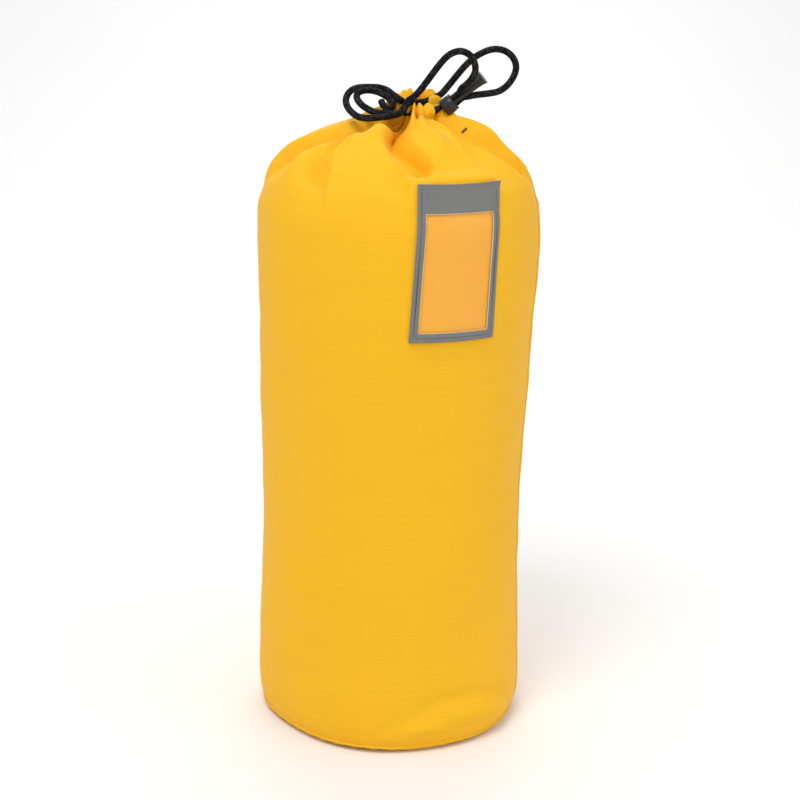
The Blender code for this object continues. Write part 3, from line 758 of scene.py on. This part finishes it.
def shapeBag():
    azimuth, distance = azimuths[None, :], rowDistance[:, None]
    radius, height = rowRadius[:, None], rowHeight[:, None]
    tangent = np.gradient(np.stack((rowRadius, rowHeight), axis=1), axis=0)
    tangent /= np.linalg.norm(tangent, axis=1)[:, None]
    outR, outZ = -tangent[:, 1:2], tangent[:, 0:1]

    warped = azimuth + 0.16 * np.sin(2 * azimuth + 1.0) + 0.07 * np.sin(5 * azimuth + 0.4) + 0.03 * np.sin(9 * azimuth)
    number = np.floor(warped * bag["pleats"] / (2 * math.pi) + 0.5)
    size = 0.72 + 0.4 * np.abs(np.sin(number * 2.4 + 1.1))
    wave = np.abs(np.cos(warped * bag["pleats"] / 2)) ** 0.75 - 0.62
    above, below = 1 - 0.35 * step01(-distance, 0.006, 0.02), 1 - step01(distance, 0.003, bag["pleatFade"])
    fade = np.where(distance < 0, above, below)
    pleat = wave * size * bag["pleatDepth"] * fade

    under = labelMask(azimuth, height, 0.011)
    push = pleat - foldDepth(azimuth, distance) * (1 - under)
    inHem = distance < 0
    slot = hump(azimuth, math.radians(72), 0.42) * step01(-distance, -0.002, 0.004)
    rise = bag["backRise"] * (0.5 - 0.5 * np.cos(azimuth + 0.2)) * (1 - step01(distance, 0.0, 0.03))
    straight = np.interp(height, (0.360, 0.4165), (0.1010, 0.0965))  # the stiff label holds the wall up straight
    push = push + labelMask(azimuth, height, 0.0105) * np.maximum(straight - radius, 0) * (distance > 0.01)
    radiusNow = np.maximum(radius + outR * push, 0.0035)
    heightNow = height + outZ * push + rise - slot * 0.0052 * inHem
    shift = step01(heightNow, 0.424, 0.446)
    x = np.sin(azimuth) * radiusNow + shift * neckShift.x
    y = -np.cos(azimuth) * radiusNow + shift * neckShift.y
    points = np.stack((x, y, heightNow + 0 * x), axis=2)

    low = step01(distance, 0.06, 0.14) * (1 - under)
    soft = noiseGrid(points * (1, 1, 0.6), 14.0, 3.1) * 1.3 + noiseGrid(points * (1, 1, 1.5), 32.0, 9.0) * 0.35
    amount = soft * bag["sag"] * low * (1 - step01(-heightNow, -0.03, -0.0060))
    for crease in creases:
        turn, rise = azimuth - math.radians(crease["azimuth"]), heightNow - crease["height"]
        rise = rise + crease["bow"] * (turn / math.radians(crease["reach"])) ** 2 - crease["slope"] * turn
        window = np.exp(-(np.abs(turn) / math.radians(crease["reach"])) ** 3) * step01(heightNow, 0.0062, 0.016)
        width = crease["width"]
        dip = 0.8 * hump(rise, -2.2 * width, 1.5 * width) - hump(rise, 0, width)
        amount = amount + dip * crease["depth"] * window
    amount = amount + frontBulge(azimuth) * (1 - step01(heightNow, 0.010, 0.075))
    amount = amount + 0.0024 * hump(azimuth, 1.45, 0.45) * hump(heightNow, 0.345, 0.035)
    points[..., 0] += np.sin(azimuth) * amount
    points[..., 1] -= np.cos(azimuth) * amount
    return points, under


def flatBag():
    # the size the cloth is cut to, rolled into a tube: its springs rest at these lengths
    radius = np.where(rowDistance < 0.004, rowRadius, np.minimum(bag["fullRadius"], rowRadius * bag["slack"]))
    steps = np.concatenate(([0.0], np.diff(rowDistance)))
    fall = np.sqrt(np.maximum(steps ** 2 - np.concatenate(([0.0], np.diff(radius))) ** 2, (0.2 * steps) ** 2))
    height = 0.5 - np.cumsum(fall)
    azimuth = azimuths[None, :]
    return np.stack(np.broadcast_arrays(np.sin(azimuth) * radius[:, None], -np.cos(azimuth) * radius[:, None],
                                        height[:, None]), axis=2)


def settle(points, under):
    rows, columns = points.shape[:2]
    number = np.arange(rows * columns).reshape(rows, columns)
    beside = np.roll(number, -1, axis=1)
    faces = np.stack((number[:-1], number[1:], beside[1:], beside[:-1]), axis=2).reshape(-1, 4)
    mesh = bpy.data.meshes.new("settling")
    mesh.from_pydata(points.reshape(-1, 3).tolist(), [], faces.tolist())
    item = addItem("settling", mesh)
    item.shape_key_add(name="basis")
    flat = item.shape_key_add(name="flat")
    flat.data.foreach_set("co", flatBag().reshape(-1))
    flat.value = 0.0
    free = step01(rowDistance, 0.004, 0.016)[:, None] * (1 - step01(rowDistance, 0.10, 0.15))[:, None] * (1 - under)
    group = item.vertex_groups.new(name="held")
    for place, weight in enumerate((1 - free).reshape(-1)):
        group.add([place], float(weight), "REPLACE")
    cloth = item.modifiers.new("cloth", "CLOTH")
    settings = cloth.settings
    settings.quality, settings.mass = simulation["quality"], simulation["mass"]
    settings.tension_stiffness = settings.compression_stiffness = simulation["stretch"]
    settings.shear_stiffness, settings.bending_stiffness = simulation["shear"], simulation["bend"]
    settings.vertex_group_mass, settings.pin_stiffness = "held", simulation["pin"]
    settings.rest_shape_key = flat
    settings.use_pressure, settings.uniform_pressure_force = True, simulation["pressure"]
    settings.effector_weights.gravity = 0
    cloth.collision_settings.use_collision = False
    for step in range(1, simulation["frames"] + 1):
        scene.frame_set(step)
    result = item.evaluated_get(bpy.context.evaluated_depsgraph_get())
    moved = np.empty(rows * columns * 3)
    result.data.vertices.foreach_get("co", moved)
    moved = moved.reshape(points.shape)
    bpy.data.objects.remove(item, do_unlink=True)
    scene.frame_set(1)
    change = (moved - points) * step01(free, 0.0, 0.5)[..., None]
    size = np.linalg.norm(change, axis=2, keepdims=True)
    most = simulation["mostMove"]
    change = change * np.minimum(1, most * np.tanh(size / most) / np.maximum(size, 1e-9))
    print("cloth settled, moved up to", round(float(size.max()) * 1000, 1), "mm")
    return points + change


bagPoints, underLabel = shapeBag()
bagPoints = settle(bagPoints, underLabel)


def splineWeights(t):
    return (1 - t) ** 3 / 6, (3 * t ** 3 - 6 * t ** 2 + 4) / 6, (-3 * t ** 3 + 3 * t ** 2 + 3 * t + 1) / 6, t ** 3 / 6


def spline(points, places, wrap):
    # uniform cubic B-spline through the first axis
    count = len(points)
    whole = np.floor(places).astype(int)
    if not wrap:
        whole = np.clip(whole, 0, count - 2)
    weights = splineWeights((places - whole)[:, None, None])
    total = 0
    for offset, weight in zip((-1, 0, 1, 2), weights):
        index = (whole + offset) % count if wrap else whole + offset
        if wrap:
            total = total + weight * points[index]
        else:
            inside = np.clip(index, 0, count - 1)
            beyond = (index - inside)[:, None, None]
            end = points[inside] - points[np.clip(inside - np.sign(index - inside), 0, count - 1)]
            total = total + weight * (points[inside] + np.abs(beyond) * end)
    return total


def bagSurface(columnPlaces, rowPlaces):
    byRow = spline(bagPoints, np.asarray(rowPlaces, float), False)
    return spline(byRow.swapaxes(0, 1), np.asarray(columnPlaces, float), True).swapaxes(0, 1)


columnTable = np.linspace(0, bag["columns"], 1473)


def columnOf(azimuth):
    return np.interp((np.asarray(azimuth) + 180.0) % 360.0 - 180.0, azimuthOf(columnTable), columnTable)


def atRow(rows, values):
    return np.interp(rows, np.arange(len(values)), values)


def rowAt(distance):
    return np.interp(distance, rowDistance, np.arange(len(rowDistance)))


def rowAtHeight(height):
    start = int(np.argmin(np.abs(rowDistance)))
    return np.interp(-np.asarray(height), -rowHeight[start:], np.arange(start, len(rowHeight)))


def surfaceAt(columnPlaces, rowPlaces):
    # points on the cloth at pairs of column and row places
    columnPlaces, rowPlaces = np.asarray(columnPlaces, float), np.asarray(rowPlaces, float)
    wholeColumn, wholeRow = np.floor(columnPlaces).astype(int), np.floor(rowPlaces).astype(int)
    total = 0
    for down, rowWeight in zip((-1, 0, 1, 2), splineWeights(rowPlaces - wholeRow)):
        row = np.clip(wholeRow + down, 0, len(bagPoints) - 1)
        for across, columnWeight in zip((-1, 0, 1, 2), splineWeights(columnPlaces - wholeColumn)):
            column = (wholeColumn + across) % bag["columns"]
            total = total + (rowWeight * columnWeight)[..., None] * bagPoints[row, column]
    return total


def offBag(columnPlaces, rowPlaces, offsets):
    # the same, pushed out of the cloth, with the way out
    across = surfaceAt(columnPlaces + 0.1, rowPlaces) - surfaceAt(columnPlaces - 0.1, rowPlaces)
    down = surfaceAt(columnPlaces, rowPlaces + 0.1) - surfaceAt(columnPlaces, rowPlaces - 0.1)
    out = np.cross(across, -down)
    out /= np.linalg.norm(out, axis=-1, keepdims=True)
    return surfaceAt(columnPlaces, rowPlaces) + out * np.asarray(offsets)[..., None], out


def onBag(azimuth, row):
    point, out = offBag(columnOf(azimuth), np.asarray(row, float), np.zeros(()))
    return Vector(point), Vector(out)


def makeBag():
    fine = bag["fine"]
    columns, rows = bag["columns"] * fine, (len(rowDistance) - 1) * fine
    columnPlaces = np.arange(columns + 1) / fine
    rowPlaces = np.arange(rows + 1) / fine
    places = bagSurface(columnPlaces, rowPlaces)
    places[:, -1] = places[:, 0]
    across = np.radians(azimuthOf(columnPlaces) + 180.0) * bag["fullRadius"]
    bm = gridMesh(columns, rows, places, gridUvs(across, atRow(rowPlaces, rowDistance)), closed=True)
    piece = newPiece("bagCloth", bm, yellowNylon, replaces=("body_panel", "hem_channel"))
    third = len(piece.data.polygons) // 3
    faceTowards(piece, third, (*piece.data.polygons[third].center.xy, 0))
    return piece


bagCloth = makeBag()
print("bag made", len(bagCloth.data.polygons), "faces")


def stitchMesh(bm, start, end, out, radius):
    along = end - start
    length = along.length / 2
    along.normalize()
    out = (out - along * out.dot(along)).normalized()
    side = along.cross(out)
    turn = Matrix((side * radius, out * radius * 0.75, along * length)).transposed().to_4x4()
    middle = Matrix.Translation((start + end) / 2)
    bmesh.ops.create_uvsphere(bm, u_segments=8, v_segments=6, radius=1.0, matrix=middle @ turn)


def stitchRow(name, spots, stitch, lift):
    # spots are azimuth and row pairs close together; stitches are laid along them
    length, gap = stitch["length"], stitch["gap"]
    points, outs = [], []
    for azimuth, row in spots:
        point, out = onBag(azimuth, row)
        points.append(point + out * lift)
        outs.append(out)
    line = np.array([tuple(point) for point in points])
    ways = np.array([tuple(out) for out in outs])
    lengths = lengthsAlong(line)
    bm = bmesh.new()
    at = gap
    while at + length < lengths[-1]:
        ends = [Vector([np.interp(spot, lengths, line[:, axis]) for axis in range(3)]) for spot in (at, at + length)]
        out = Vector([np.interp(at + length / 2, lengths, ways[:, axis]) for axis in range(3)])
        stitchMesh(bm, ends[0], ends[1], out, stitch["radius"])
        at += length + gap
    newPiece(name, bm, yellowThread)


sideSeam = {
    "azimuth": 84.0,
    "width": 0.0084,
    "thickness": 0.0009,
    "topDrop": 0.020,
    "rows": 150,
    "stitch": {"length": 0.0026, "gap": 0.0007, "radius": 0.00026, "inset": 0.0012},
}


def makeSideSeam(choice):
    half = choice["width"] / 2
    across = np.array([-1, -0.97, -0.85, -0.72, -0.6, -0.3, 0, 0.3, 0.6, 0.72, 0.85, 0.97, 1]) * half
    lift = np.array([0.05, 0.75, 0.9, 0.55, 0.9, 1, 1, 1, 0.9, 0.55, 0.9, 0.75, 0.05]) * choice["thickness"]
    rows = np.linspace(rowAt(choice["topDrop"]), len(rowDistance) - 1.2, choice["rows"])
    columns = columnOf(choice["azimuth"] + np.degrees(across[None, :] / atRow(rows, rowRadius)[:, None]))
    offsets = np.repeat(lift[None, :], len(rows), axis=0)
    offsets[0] = 0.0001
    places = offBag(columns, np.repeat(rows[:, None], len(across), axis=1), offsets)[0]
    bm = gridMesh(len(across) - 1, len(rows) - 1, places, gridUvs(across + 0.3, atRow(rows, rowDistance)))
    seam = newPiece("sideSeam", bm, yellowNylon, replaces=("side_seam",))
    faceTowards(seam, len(seam.data.polygons) // 2, (1, 0, 0))
    for name, side in (("seamStitchesFront", -1), ("seamStitchesBack", 1)):
        turn = math.degrees(side * (half - choice["stitch"]["inset"]) / bag["fullRadius"])
        spots = [(choice["azimuth"] + turn, row) for row in rows[1:-1]]
        stitchRow(name, spots, choice["stitch"], choice["thickness"] * 0.6)


makeSideSeam(sideSeam)


hemStitch = {"distance": 0.0016, "length": 0.0021, "gap": 0.0006, "radius": 0.00022}
tacks = (
    {"name": "barTackLeft", "azimuth": -62.0, "distance": 0.034, "wide": 0.0026, "tall": 0.0018, "threads": 4},
    {"name": "barTackRight", "azimuth": 64.5, "distance": 0.026, "wide": 0.0014, "tall": 0.0016, "threads": 4},
    {"name": "barTackSide", "azimuth": 84.0, "distance": 0.1035, "wide": 0.0036, "tall": 0.014, "threads": 18},
)


def makeTack(choice, node, lift):
    bm = bmesh.new()
    radius = float(np.interp(choice["distance"], rowDistance, rowRadius))
    half = math.degrees(choice["wide"] / 2 / radius)
    for number in range(choice["threads"]):
        down = choice["distance"] + choice["tall"] * (number / (choice["threads"] - 1) - 0.5)
        ends = []
        for side in (-1, 1):
            wobble = math.sin(number * 2.7 + side) * 0.12
            lean = choice["tall"] / choice["threads"] * 0.35 * side
            point, out = onBag(choice["azimuth"] + half * side * (1 + wobble), float(rowAt(down + lean)))
            ends.append((point + out * (lift + 0.0002), out))
        stitchMesh(bm, ends[0][0], ends[1][0], ends[0][1], 0.00034)
    newPiece(choice["name"], bm, brownThread, replaces=(node,))


hemRow = float(rowAt(hemStitch["distance"]))
stitchRow("hemStitches", [(azimuth, hemRow) for azimuth in np.arange(-180, 181, 2.0)], hemStitch, 0.0001)
makeTack(tacks[0], "bar_tack_left", 0.0001)
makeTack(tacks[1], "bar_tack_right", 0.0001)
makeTack(tacks[2], "bar_tack_side", sideSeam["thickness"])
print("seams made")


base = {"flat": 0.084, "cutRadius": 0.1, "seamRadius": 0.0946, "seamHeight": 0.0050, "steps": 160, "bindingSteps": 240}


def spun(section, steps, closed=False, matrix=None):
    bm = bmesh.new()
    verts = [bm.verts.new((radius, 0, height)) for radius, height in section]
    edges = [bm.edges.new(pair) for pair in zip(verts, verts[1:])]
    if closed:
        edges.append(bm.edges.new((verts[-1], verts[0])))
    bmesh.ops.spin(bm, geom=verts + edges, cent=(0, 0, 0), axis=(0, 0, 1), angle=2 * math.pi, steps=steps,
                   use_merge=True)
    bmesh.ops.remove_doubles(bm, verts=bm.verts, dist=1e-6)
    bmesh.ops.recalc_face_normals(bm, faces=bm.faces)
    if matrix is not None:
        bmesh.ops.transform(bm, matrix=matrix, verts=bm.verts)
    return bm


def swell(vertex, share):
    azimuth = math.atan2(vertex.co.x, -vertex.co.y)
    grown = float(frontBulge(azimuth)) * float(share)
    vertex.co.x += math.sin(azimuth) * grown
    vertex.co.y -= math.cos(azimuth) * grown


def makeBase(choice):
    section = [(choice["flat"] * share / 14, 0.0004) for share in range(15)]
    rim = smoothCurve([(0.080, 0, 0.0004), (0.086, 0, 0.0005), (0.0908, 0, 0.0012), (0.0933, 0, 0.0026),
                       (choice["seamRadius"] - 0.0004, 0, choice["seamHeight"])], 5)
    section += [(point.x, point.z) for point in rim if point.x > choice["flat"] + 0.0002]
    bm = spun(section, choice["steps"])
    for vertex in bm.verts:
        radius = math.hypot(vertex.co.x, vertex.co.y)
        soft = noise.noise(vertex.co * 26) * 0.0011 * step01(radius, 0.02, 0.06) * (1 - step01(radius, 0.090, 0.096))
        vertex.co.z += max(soft, -0.0003)
        pucker = math.sin(math.atan2(vertex.co.y, vertex.co.x) * 46) * 0.0003
        vertex.co.z += pucker * step01(radius, 0.086, 0.091) * (1 - step01(radius, 0.0930, 0.0945))
        swell(vertex, step01(radius, 0.055, 0.088))
    setUvs(bm, lambda vertex: vertex.co.xy)
    piece = newPiece("basePanel", bm, yellowNylon, replaces=("base_panel",))
    faceTowards(piece, 5, (0, 0, -1))
    return piece


def makeBinding(choice):
    ring = [(choice["seamRadius"] + 0.0010 * math.cos(angle), choice["seamHeight"] + 0.0011 * math.sin(angle))
            for angle in np.linspace(0, 2 * math.pi, 12, endpoint=False)]
    bm = spun(ring, choice["bindingSteps"], closed=True)
    for vertex in bm.verts:
        angle = math.atan2(vertex.co.y, vertex.co.x)
        vertex.co.z += 0.0003 * math.sin(angle * 5 + 1) + 0.00012 * math.sin(angle * 61)
        swell(vertex, 1.0)
    setUvs(bm, lambda vertex: (math.atan2(vertex.co.y, vertex.co.x) * choice["seamRadius"], vertex.co.z))
    newPiece("baseSeamBinding", bm, yellowBinding, replaces=("base_seam_binding",))


basePiece = makeBase(base)
makeBinding(base)
print("base made")


pocket = {
    "sideBand": 0.0057,
    "topBand": 0.0178,
    "bottomBand": 0.0062,
    "frameLift": 0.0019,
    "thickness": 0.0009,
    "groove": 0.0028,
    "dip": 0.0003,  # the top edge sags between its corners
    "curl": 0.0016,
    "lean": 0.048,
}
pocketTop = float(atRow(rowAtHeight(label["top"]), rowDistance))


def pocketPlaces(across, down, offsets):
    # across from the label's middle, down from its top edge
    rows = rowAt(pocketTop + down)
    radii = (atRow(rows, rowRadius) + bag["fullRadius"]) / 2
    leaning = across + (label["height"] / 2 - down) * pocket["lean"]
    columns = columnOf(label["azimuth"] + np.degrees(leaning / radii))
    return offBag(columns, rows, offsets)[0]


def pocketLine(way, lift):
    return pocketPlaces(way[None, :, 0], way[None, :, 1], np.full((1, len(way)), lift))[0]


def pocketGrid(across, down, lift, dip=0.0):
    acrossGrid, downGrid = np.meshgrid(across, down)
    sag = dip * (1 - (acrossGrid / (label["width"] / 2)) ** 2) * np.clip(1 - downGrid / pocket["topBand"], 0, 1)
    places = pocketPlaces(acrossGrid, downGrid + sag, lift(acrossGrid, downGrid))
    return gridMesh(len(across) - 1, len(down) - 1, places, gridUvs(across, down))


def mirrored(values):
    return np.array(sorted([-value for value in values] + list(values)))


def makePocket(choice):
    half, height = label["width"] / 2, label["height"]
    opening, openTop, openLow = half - choice["sideBand"], choice["topBand"], height - choice["bottomBand"]
    groove = choice["groove"]
    edge = [0.0, 0.0003, 0.0008, groove - 0.0007, groove - 0.0003, groove, groove + 0.0003, groove + 0.0007]
    across = mirrored([half - value for value in edge] + [opening + 0.0008, opening + 0.0003, opening]
                      + list(np.linspace(0.003, opening - 0.003, 7)))
    down = np.array(sorted([0.0, 0.0004, 0.0010, 0.0020, 0.0035] + list(np.linspace(0.006, openTop - 0.002, 5))
                    + [openTop - 0.0008, openTop - 0.0003, openTop]
                    + list(np.linspace(openTop + 0.003, openLow - 0.003, 26))
                    + [openLow, openLow + 0.0003, openLow + 0.0008] + [height - value for value in edge]))

    def lift(x, y):
        fromEdge = np.minimum(half - np.abs(x), height - y)
        rounded = 0.0004 * np.clip(1 - fromEdge / 0.0008, 0, 1) ** 2
        line = 0.00045 * np.exp(-((fromEdge - groove) / 0.00035) ** 2)
        curl = choice["curl"] * np.clip(1 - y / 0.0045, 0, 1) ** 2 * (0.6 + 0.4 * (x / half) ** 2)
        toOpening = np.maximum(np.abs(x) - opening, np.maximum(openTop - y, y - openLow))
        lip = 0.0003 * np.clip(1 - toOpening / 0.0008, 0, 1)
        wave = 0.00025 * np.sin(y * 75 + x * 20)
        return choice["frameLift"] - rounded - line + curl - lip + wave

    bm = pocketGrid(across, down, lift, choice["dip"])
    layer = bm.loops.layers.uv.active
    gone = []
    for face in bm.faces:
        u = sum(loop[layer].uv.x for loop in face.loops) / 4
        v = -sum(loop[layer].uv.y for loop in face.loops) / 4
        if abs(u) < opening and openTop < v < openLow:
            gone.append(face)
    bmesh.ops.delete(bm, geom=gone, context="FACES")
    framePiece = newPiece("labelFrame", bm, greyVinyl, replaces=("label_frame",))
    faceTowards(framePiece, 3, (0, -1, 0))
    wall = framePiece.modifiers.new("wall", "SOLIDIFY")
    wall.thickness = choice["thickness"]
    wall.offset = -1
    roundEdges(framePiece, 0.00022, 2, 50)

    even = np.linspace(-half + 0.0012, half - 0.0012, 21)
    bm = pocketGrid(even, np.linspace(0.003, height - 0.0012, 31), lambda x, y: 0 * x + 0.00035)
    faceTowards(newPiece("labelBack", bm, backVinyl, replaces=("label_back",)), 3, (0, -1, 0))

    def bulge(x, y):
        swelling = 0.0005 * np.cos(x / opening * 1.4) * np.sin((y - openTop) / (openLow - openTop) * math.pi)
        return 0.0009 + swelling + 0.00012 * np.sin(x * 170 + y * 60)

    even = np.linspace(-opening - 0.0015, opening + 0.0015, 21)
    bm = pocketGrid(even, np.linspace(openTop - 0.0015, openLow + 0.0015, 33), bulge)
    faceTowards(newPiece("labelWindow", bm, clearWindow, replaces=("label_window",)), 3, (0, -1, 0))

    # the rim round the window opening, in its painted-highlight colour
    corner = opening - 0.0002
    top, low = openTop + 0.0002, openLow - 0.0002
    corners = [(-corner, top), (-corner, low), (corner, low), (corner, top), (-corner, top)]
    way = np.array([tuple(point) for point in evenly([(x, y, 0) for x, y in corners], 0.0011)[0]])
    line = pocketLine(way, choice["frameLift"] - 0.0005)
    newPiece("windowEdge", tube(line, np.full(len(line), 0.00042), 8), edgeHighlightVinyl, outward=True)

    inset = half - groove
    stitched = [(-inset, 0.0012), (-inset, height - groove), (inset, height - groove), (inset, 0.0012)]
    way = evenly([(x, y, 0) for x, y in stitched], 0.0007)[0]
    line = pocketLine(way, choice["frameLift"] - 0.00032)
    outs = pocketLine(way, 0.01) - line
    bm = bmesh.new()
    for at in range(0, len(line) - 3, 4):
        stitchMesh(bm, Vector(line[at]), Vector(line[at + 3]), Vector(outs[at + 1]).normalized(), 0.00033)
    newPiece("labelStitching", bm, darkThread, replaces=("label_stitching",))


makePocket(pocket)
print("label made")


barrelShape = (  # radius and distance up the lock's axis
    (0.0053, 0.0004), (0.0055, 0.0), (0.0058, 0.0), (0.00625, 0.0004), (0.0064, 0.0010), (0.0064, 0.0062),
    (0.00636, 0.0070), (0.0060, 0.0076), (0.0060, 0.0080), (0.0063, 0.0083), (0.0063, 0.0087), (0.0060, 0.0090),
    (0.0056, 0.0090), (0.0053, 0.0086),
)
wedgeShape = (  # distance up the axis, half thickness, half width
    (0.001, 0.0008, 0.0022), (0.003, 0.00095, 0.0025), (0.009, 0.0012, 0.0028), (0.016, 0.0012, 0.0031),
    (0.023, 0.0018, 0.0035), (0.029, 0.0021, 0.0038), (0.0325, 0.0024, 0.0041), (0.0348, 0.0027, 0.0045),
)
wedgeRim = {"size": (0.0094, 0.0058, 0.0009), "rise": 0.0004}


def makeLock():
    turn = Matrix.Translation(lock["low"]) @ Matrix((acrossLock, towardsA, lockAxis)).transposed().to_4x4()
    bm = spun(barrelShape, 48, closed=True, matrix=turn)
    if turn.determinant() < 0:
        bmesh.ops.reverse_faces(bm, faces=bm.faces)
    barrel = newPiece("lockBarrel", bm, barrelPlastic, body="lock_barrel", replaces=("cord_lock_barrel",),
                      outward=True)

    bm = bmesh.new()
    low, high = wedgeShape[0][0], wedgeShape[-1][0]
    middle = Matrix.Translation((0, 0, (low + high) / 2))
    bmesh.ops.create_cube(bm, size=1.0, matrix=middle @ Matrix.Diagonal((1, 1, high - low, 1)))
    for section in wedgeShape[1:-1]:
        everything = bm.verts[:] + bm.edges[:] + bm.faces[:]
        bmesh.ops.bisect_plane(bm, geom=everything, plane_co=(0, 0, section[0]), plane_no=(0, 0, 1))
    for vertex in bm.verts:
        near = min(wedgeShape, key=lambda section: abs(section[0] - vertex.co.z))
        vertex.co.x, vertex.co.y = math.copysign(near[2], vertex.co.x), math.copysign(near[1], vertex.co.y)
    bmesh.ops.transform(bm, matrix=turn, verts=bm.verts)
    wedge = newPiece("lockWedge", bm, wedgePlastic, body="lock_wedge", replaces=("cord_lock_wedge",), outward=True)
    roundEdges(wedge, 0.0005, 3, 40)

    # the flange at the wedge's end, light grey as a painted edge highlight
    bm = bmesh.new()
    end = turn @ Matrix.Translation((0, 0, high + wedgeRim["rise"]))
    bmesh.ops.create_cube(bm, size=1.0, matrix=end @ Matrix.Diagonal((*wedgeRim["size"], 1)))
    rim = newPiece("wedgeRim", bm, rimHighlightPlastic, body="lock_wedge", outward=True)
    roundEdges(rim, 0.0003, 2)
    return barrel, wedge, rim


barrel, wedge, rim = makeLock()
print("lock made")


packed = {
    "diameter": 0.008,
    "radius": 0.0872,
    "low": 0.0245,
    "high": 0.380,
    "pitch": 0.0083,
    "points": 60,  # for each turn
    "spiral": {"turns": 8, "inwards": 0.0088, "rise": 0.027, "risen": 260},  # on top, towards the middle
}


def makePackedLine(choice):
    spiral, points = choice["spiral"], choice["points"]
    turns = (choice["high"] - choice["low"]) / choice["pitch"]
    angles = np.arange(0, turns * 2 * math.pi, 2 * math.pi / points)
    heights = choice["low"] + angles / (2 * math.pi) * choice["pitch"]
    line = [(math.cos(a) * choice["radius"], math.sin(a) * choice["radius"], z) for a, z in zip(angles, heights)]
    last = angles[-1]
    for step in range(1, points * spiral["turns"]):
        a = last + step * 2 * math.pi / points
        radius = choice["radius"] - step / points * spiral["inwards"]
        z = heights[-1] + spiral["rise"] * min(1.0, step / spiral["risen"]) + 0.0006 * math.sin(a * 3)
        line.append((math.cos(a) * radius, math.sin(a) * radius, z))
    line, lengths = evenly(line, 0.0072)
    piece = newPiece("packedLine", tube(line, np.full(len(line), choice["diameter"] / 2), 8), lineLook,
                     replaces=("packed_throw_line",), outward=True)
    return piece, line, lengths[-1]


packedLine, packedWay, packedLength = makePackedLine(packed)
foamNode = bpy.data.objects["flotation_disc"]
foamNode.data.materials.clear()
foamNode.data.materials.append(foamLook)
print("contents made", round(packedLength, 2))


studio = {
    "floor": (244, 244, 244),
    "bendStart": 1.5,  # the floor sweeps up behind the bag
    "bendRadius": 2.0,
    "world": 0.70,
    "key": 13.0,
    "fill": 3.0,
    "back": 14.0,
}


def addLight(name, spot, target, size, power):
    data = bpy.data.lights.new(name, "AREA")
    data.shape, data.size, data.energy = "DISK", size, power
    item = addItem(name, data)
    spot, target = Vector(spot), Vector(target)
    item.location = spot
    item.rotation_euler = (target - spot).to_track_quat("-Z", "Y").to_euler()


def makeStudio(choice):
    bm = bmesh.new()
    bmesh.ops.create_grid(bm, x_segments=1, y_segments=60, size=6.0)
    start, radius = choice["bendStart"], choice["bendRadius"]
    for vertex in bm.verts:
        past = vertex.co.y - start
        if past > 0:
            turn = min(past / radius, math.pi / 2)
            straight = max(0.0, past - radius * math.pi / 2)
            vertex.co.y = start + radius * math.sin(turn)
            vertex.co.z = radius - radius * math.cos(turn) + straight
    mesh = bpy.data.meshes.new("floor")
    bm.to_mesh(mesh)
    bm.free()
    mesh.shade_smooth()
    floor = addItem("floor", mesh)
    material, tree, shader = newMaterial("floor", Roughness=0.9)
    pale = mixColour(tree, noiseTexture(tree, place(tree), 3.0), colour(*choice["floor"]), colour(247, 247, 247))
    feed(tree, shader.inputs["Base Color"], pale)
    mesh.materials.append(material)
    world = bpy.data.worlds.new("studio")
    world.use_nodes = True
    world.node_tree.nodes["Background"].inputs["Color"].default_value = (1, 1, 1, 1)
    world.node_tree.nodes["Background"].inputs["Strength"].default_value = choice["world"]
    scene.world = world
    addLight("key", (-0.35, -0.85, 1.75), (0, 0, 0.34), 0.7, choice["key"])
    addLight("fill", (1.3, -0.8, 0.8), (0, 0, 0.3), 1.2, choice["fill"])
    addLight("back", (0.0, 1.6, 1.8), (0, 1.5, 0.0), 1.6, choice["back"])


makeStudio(studio)
print("finishing")
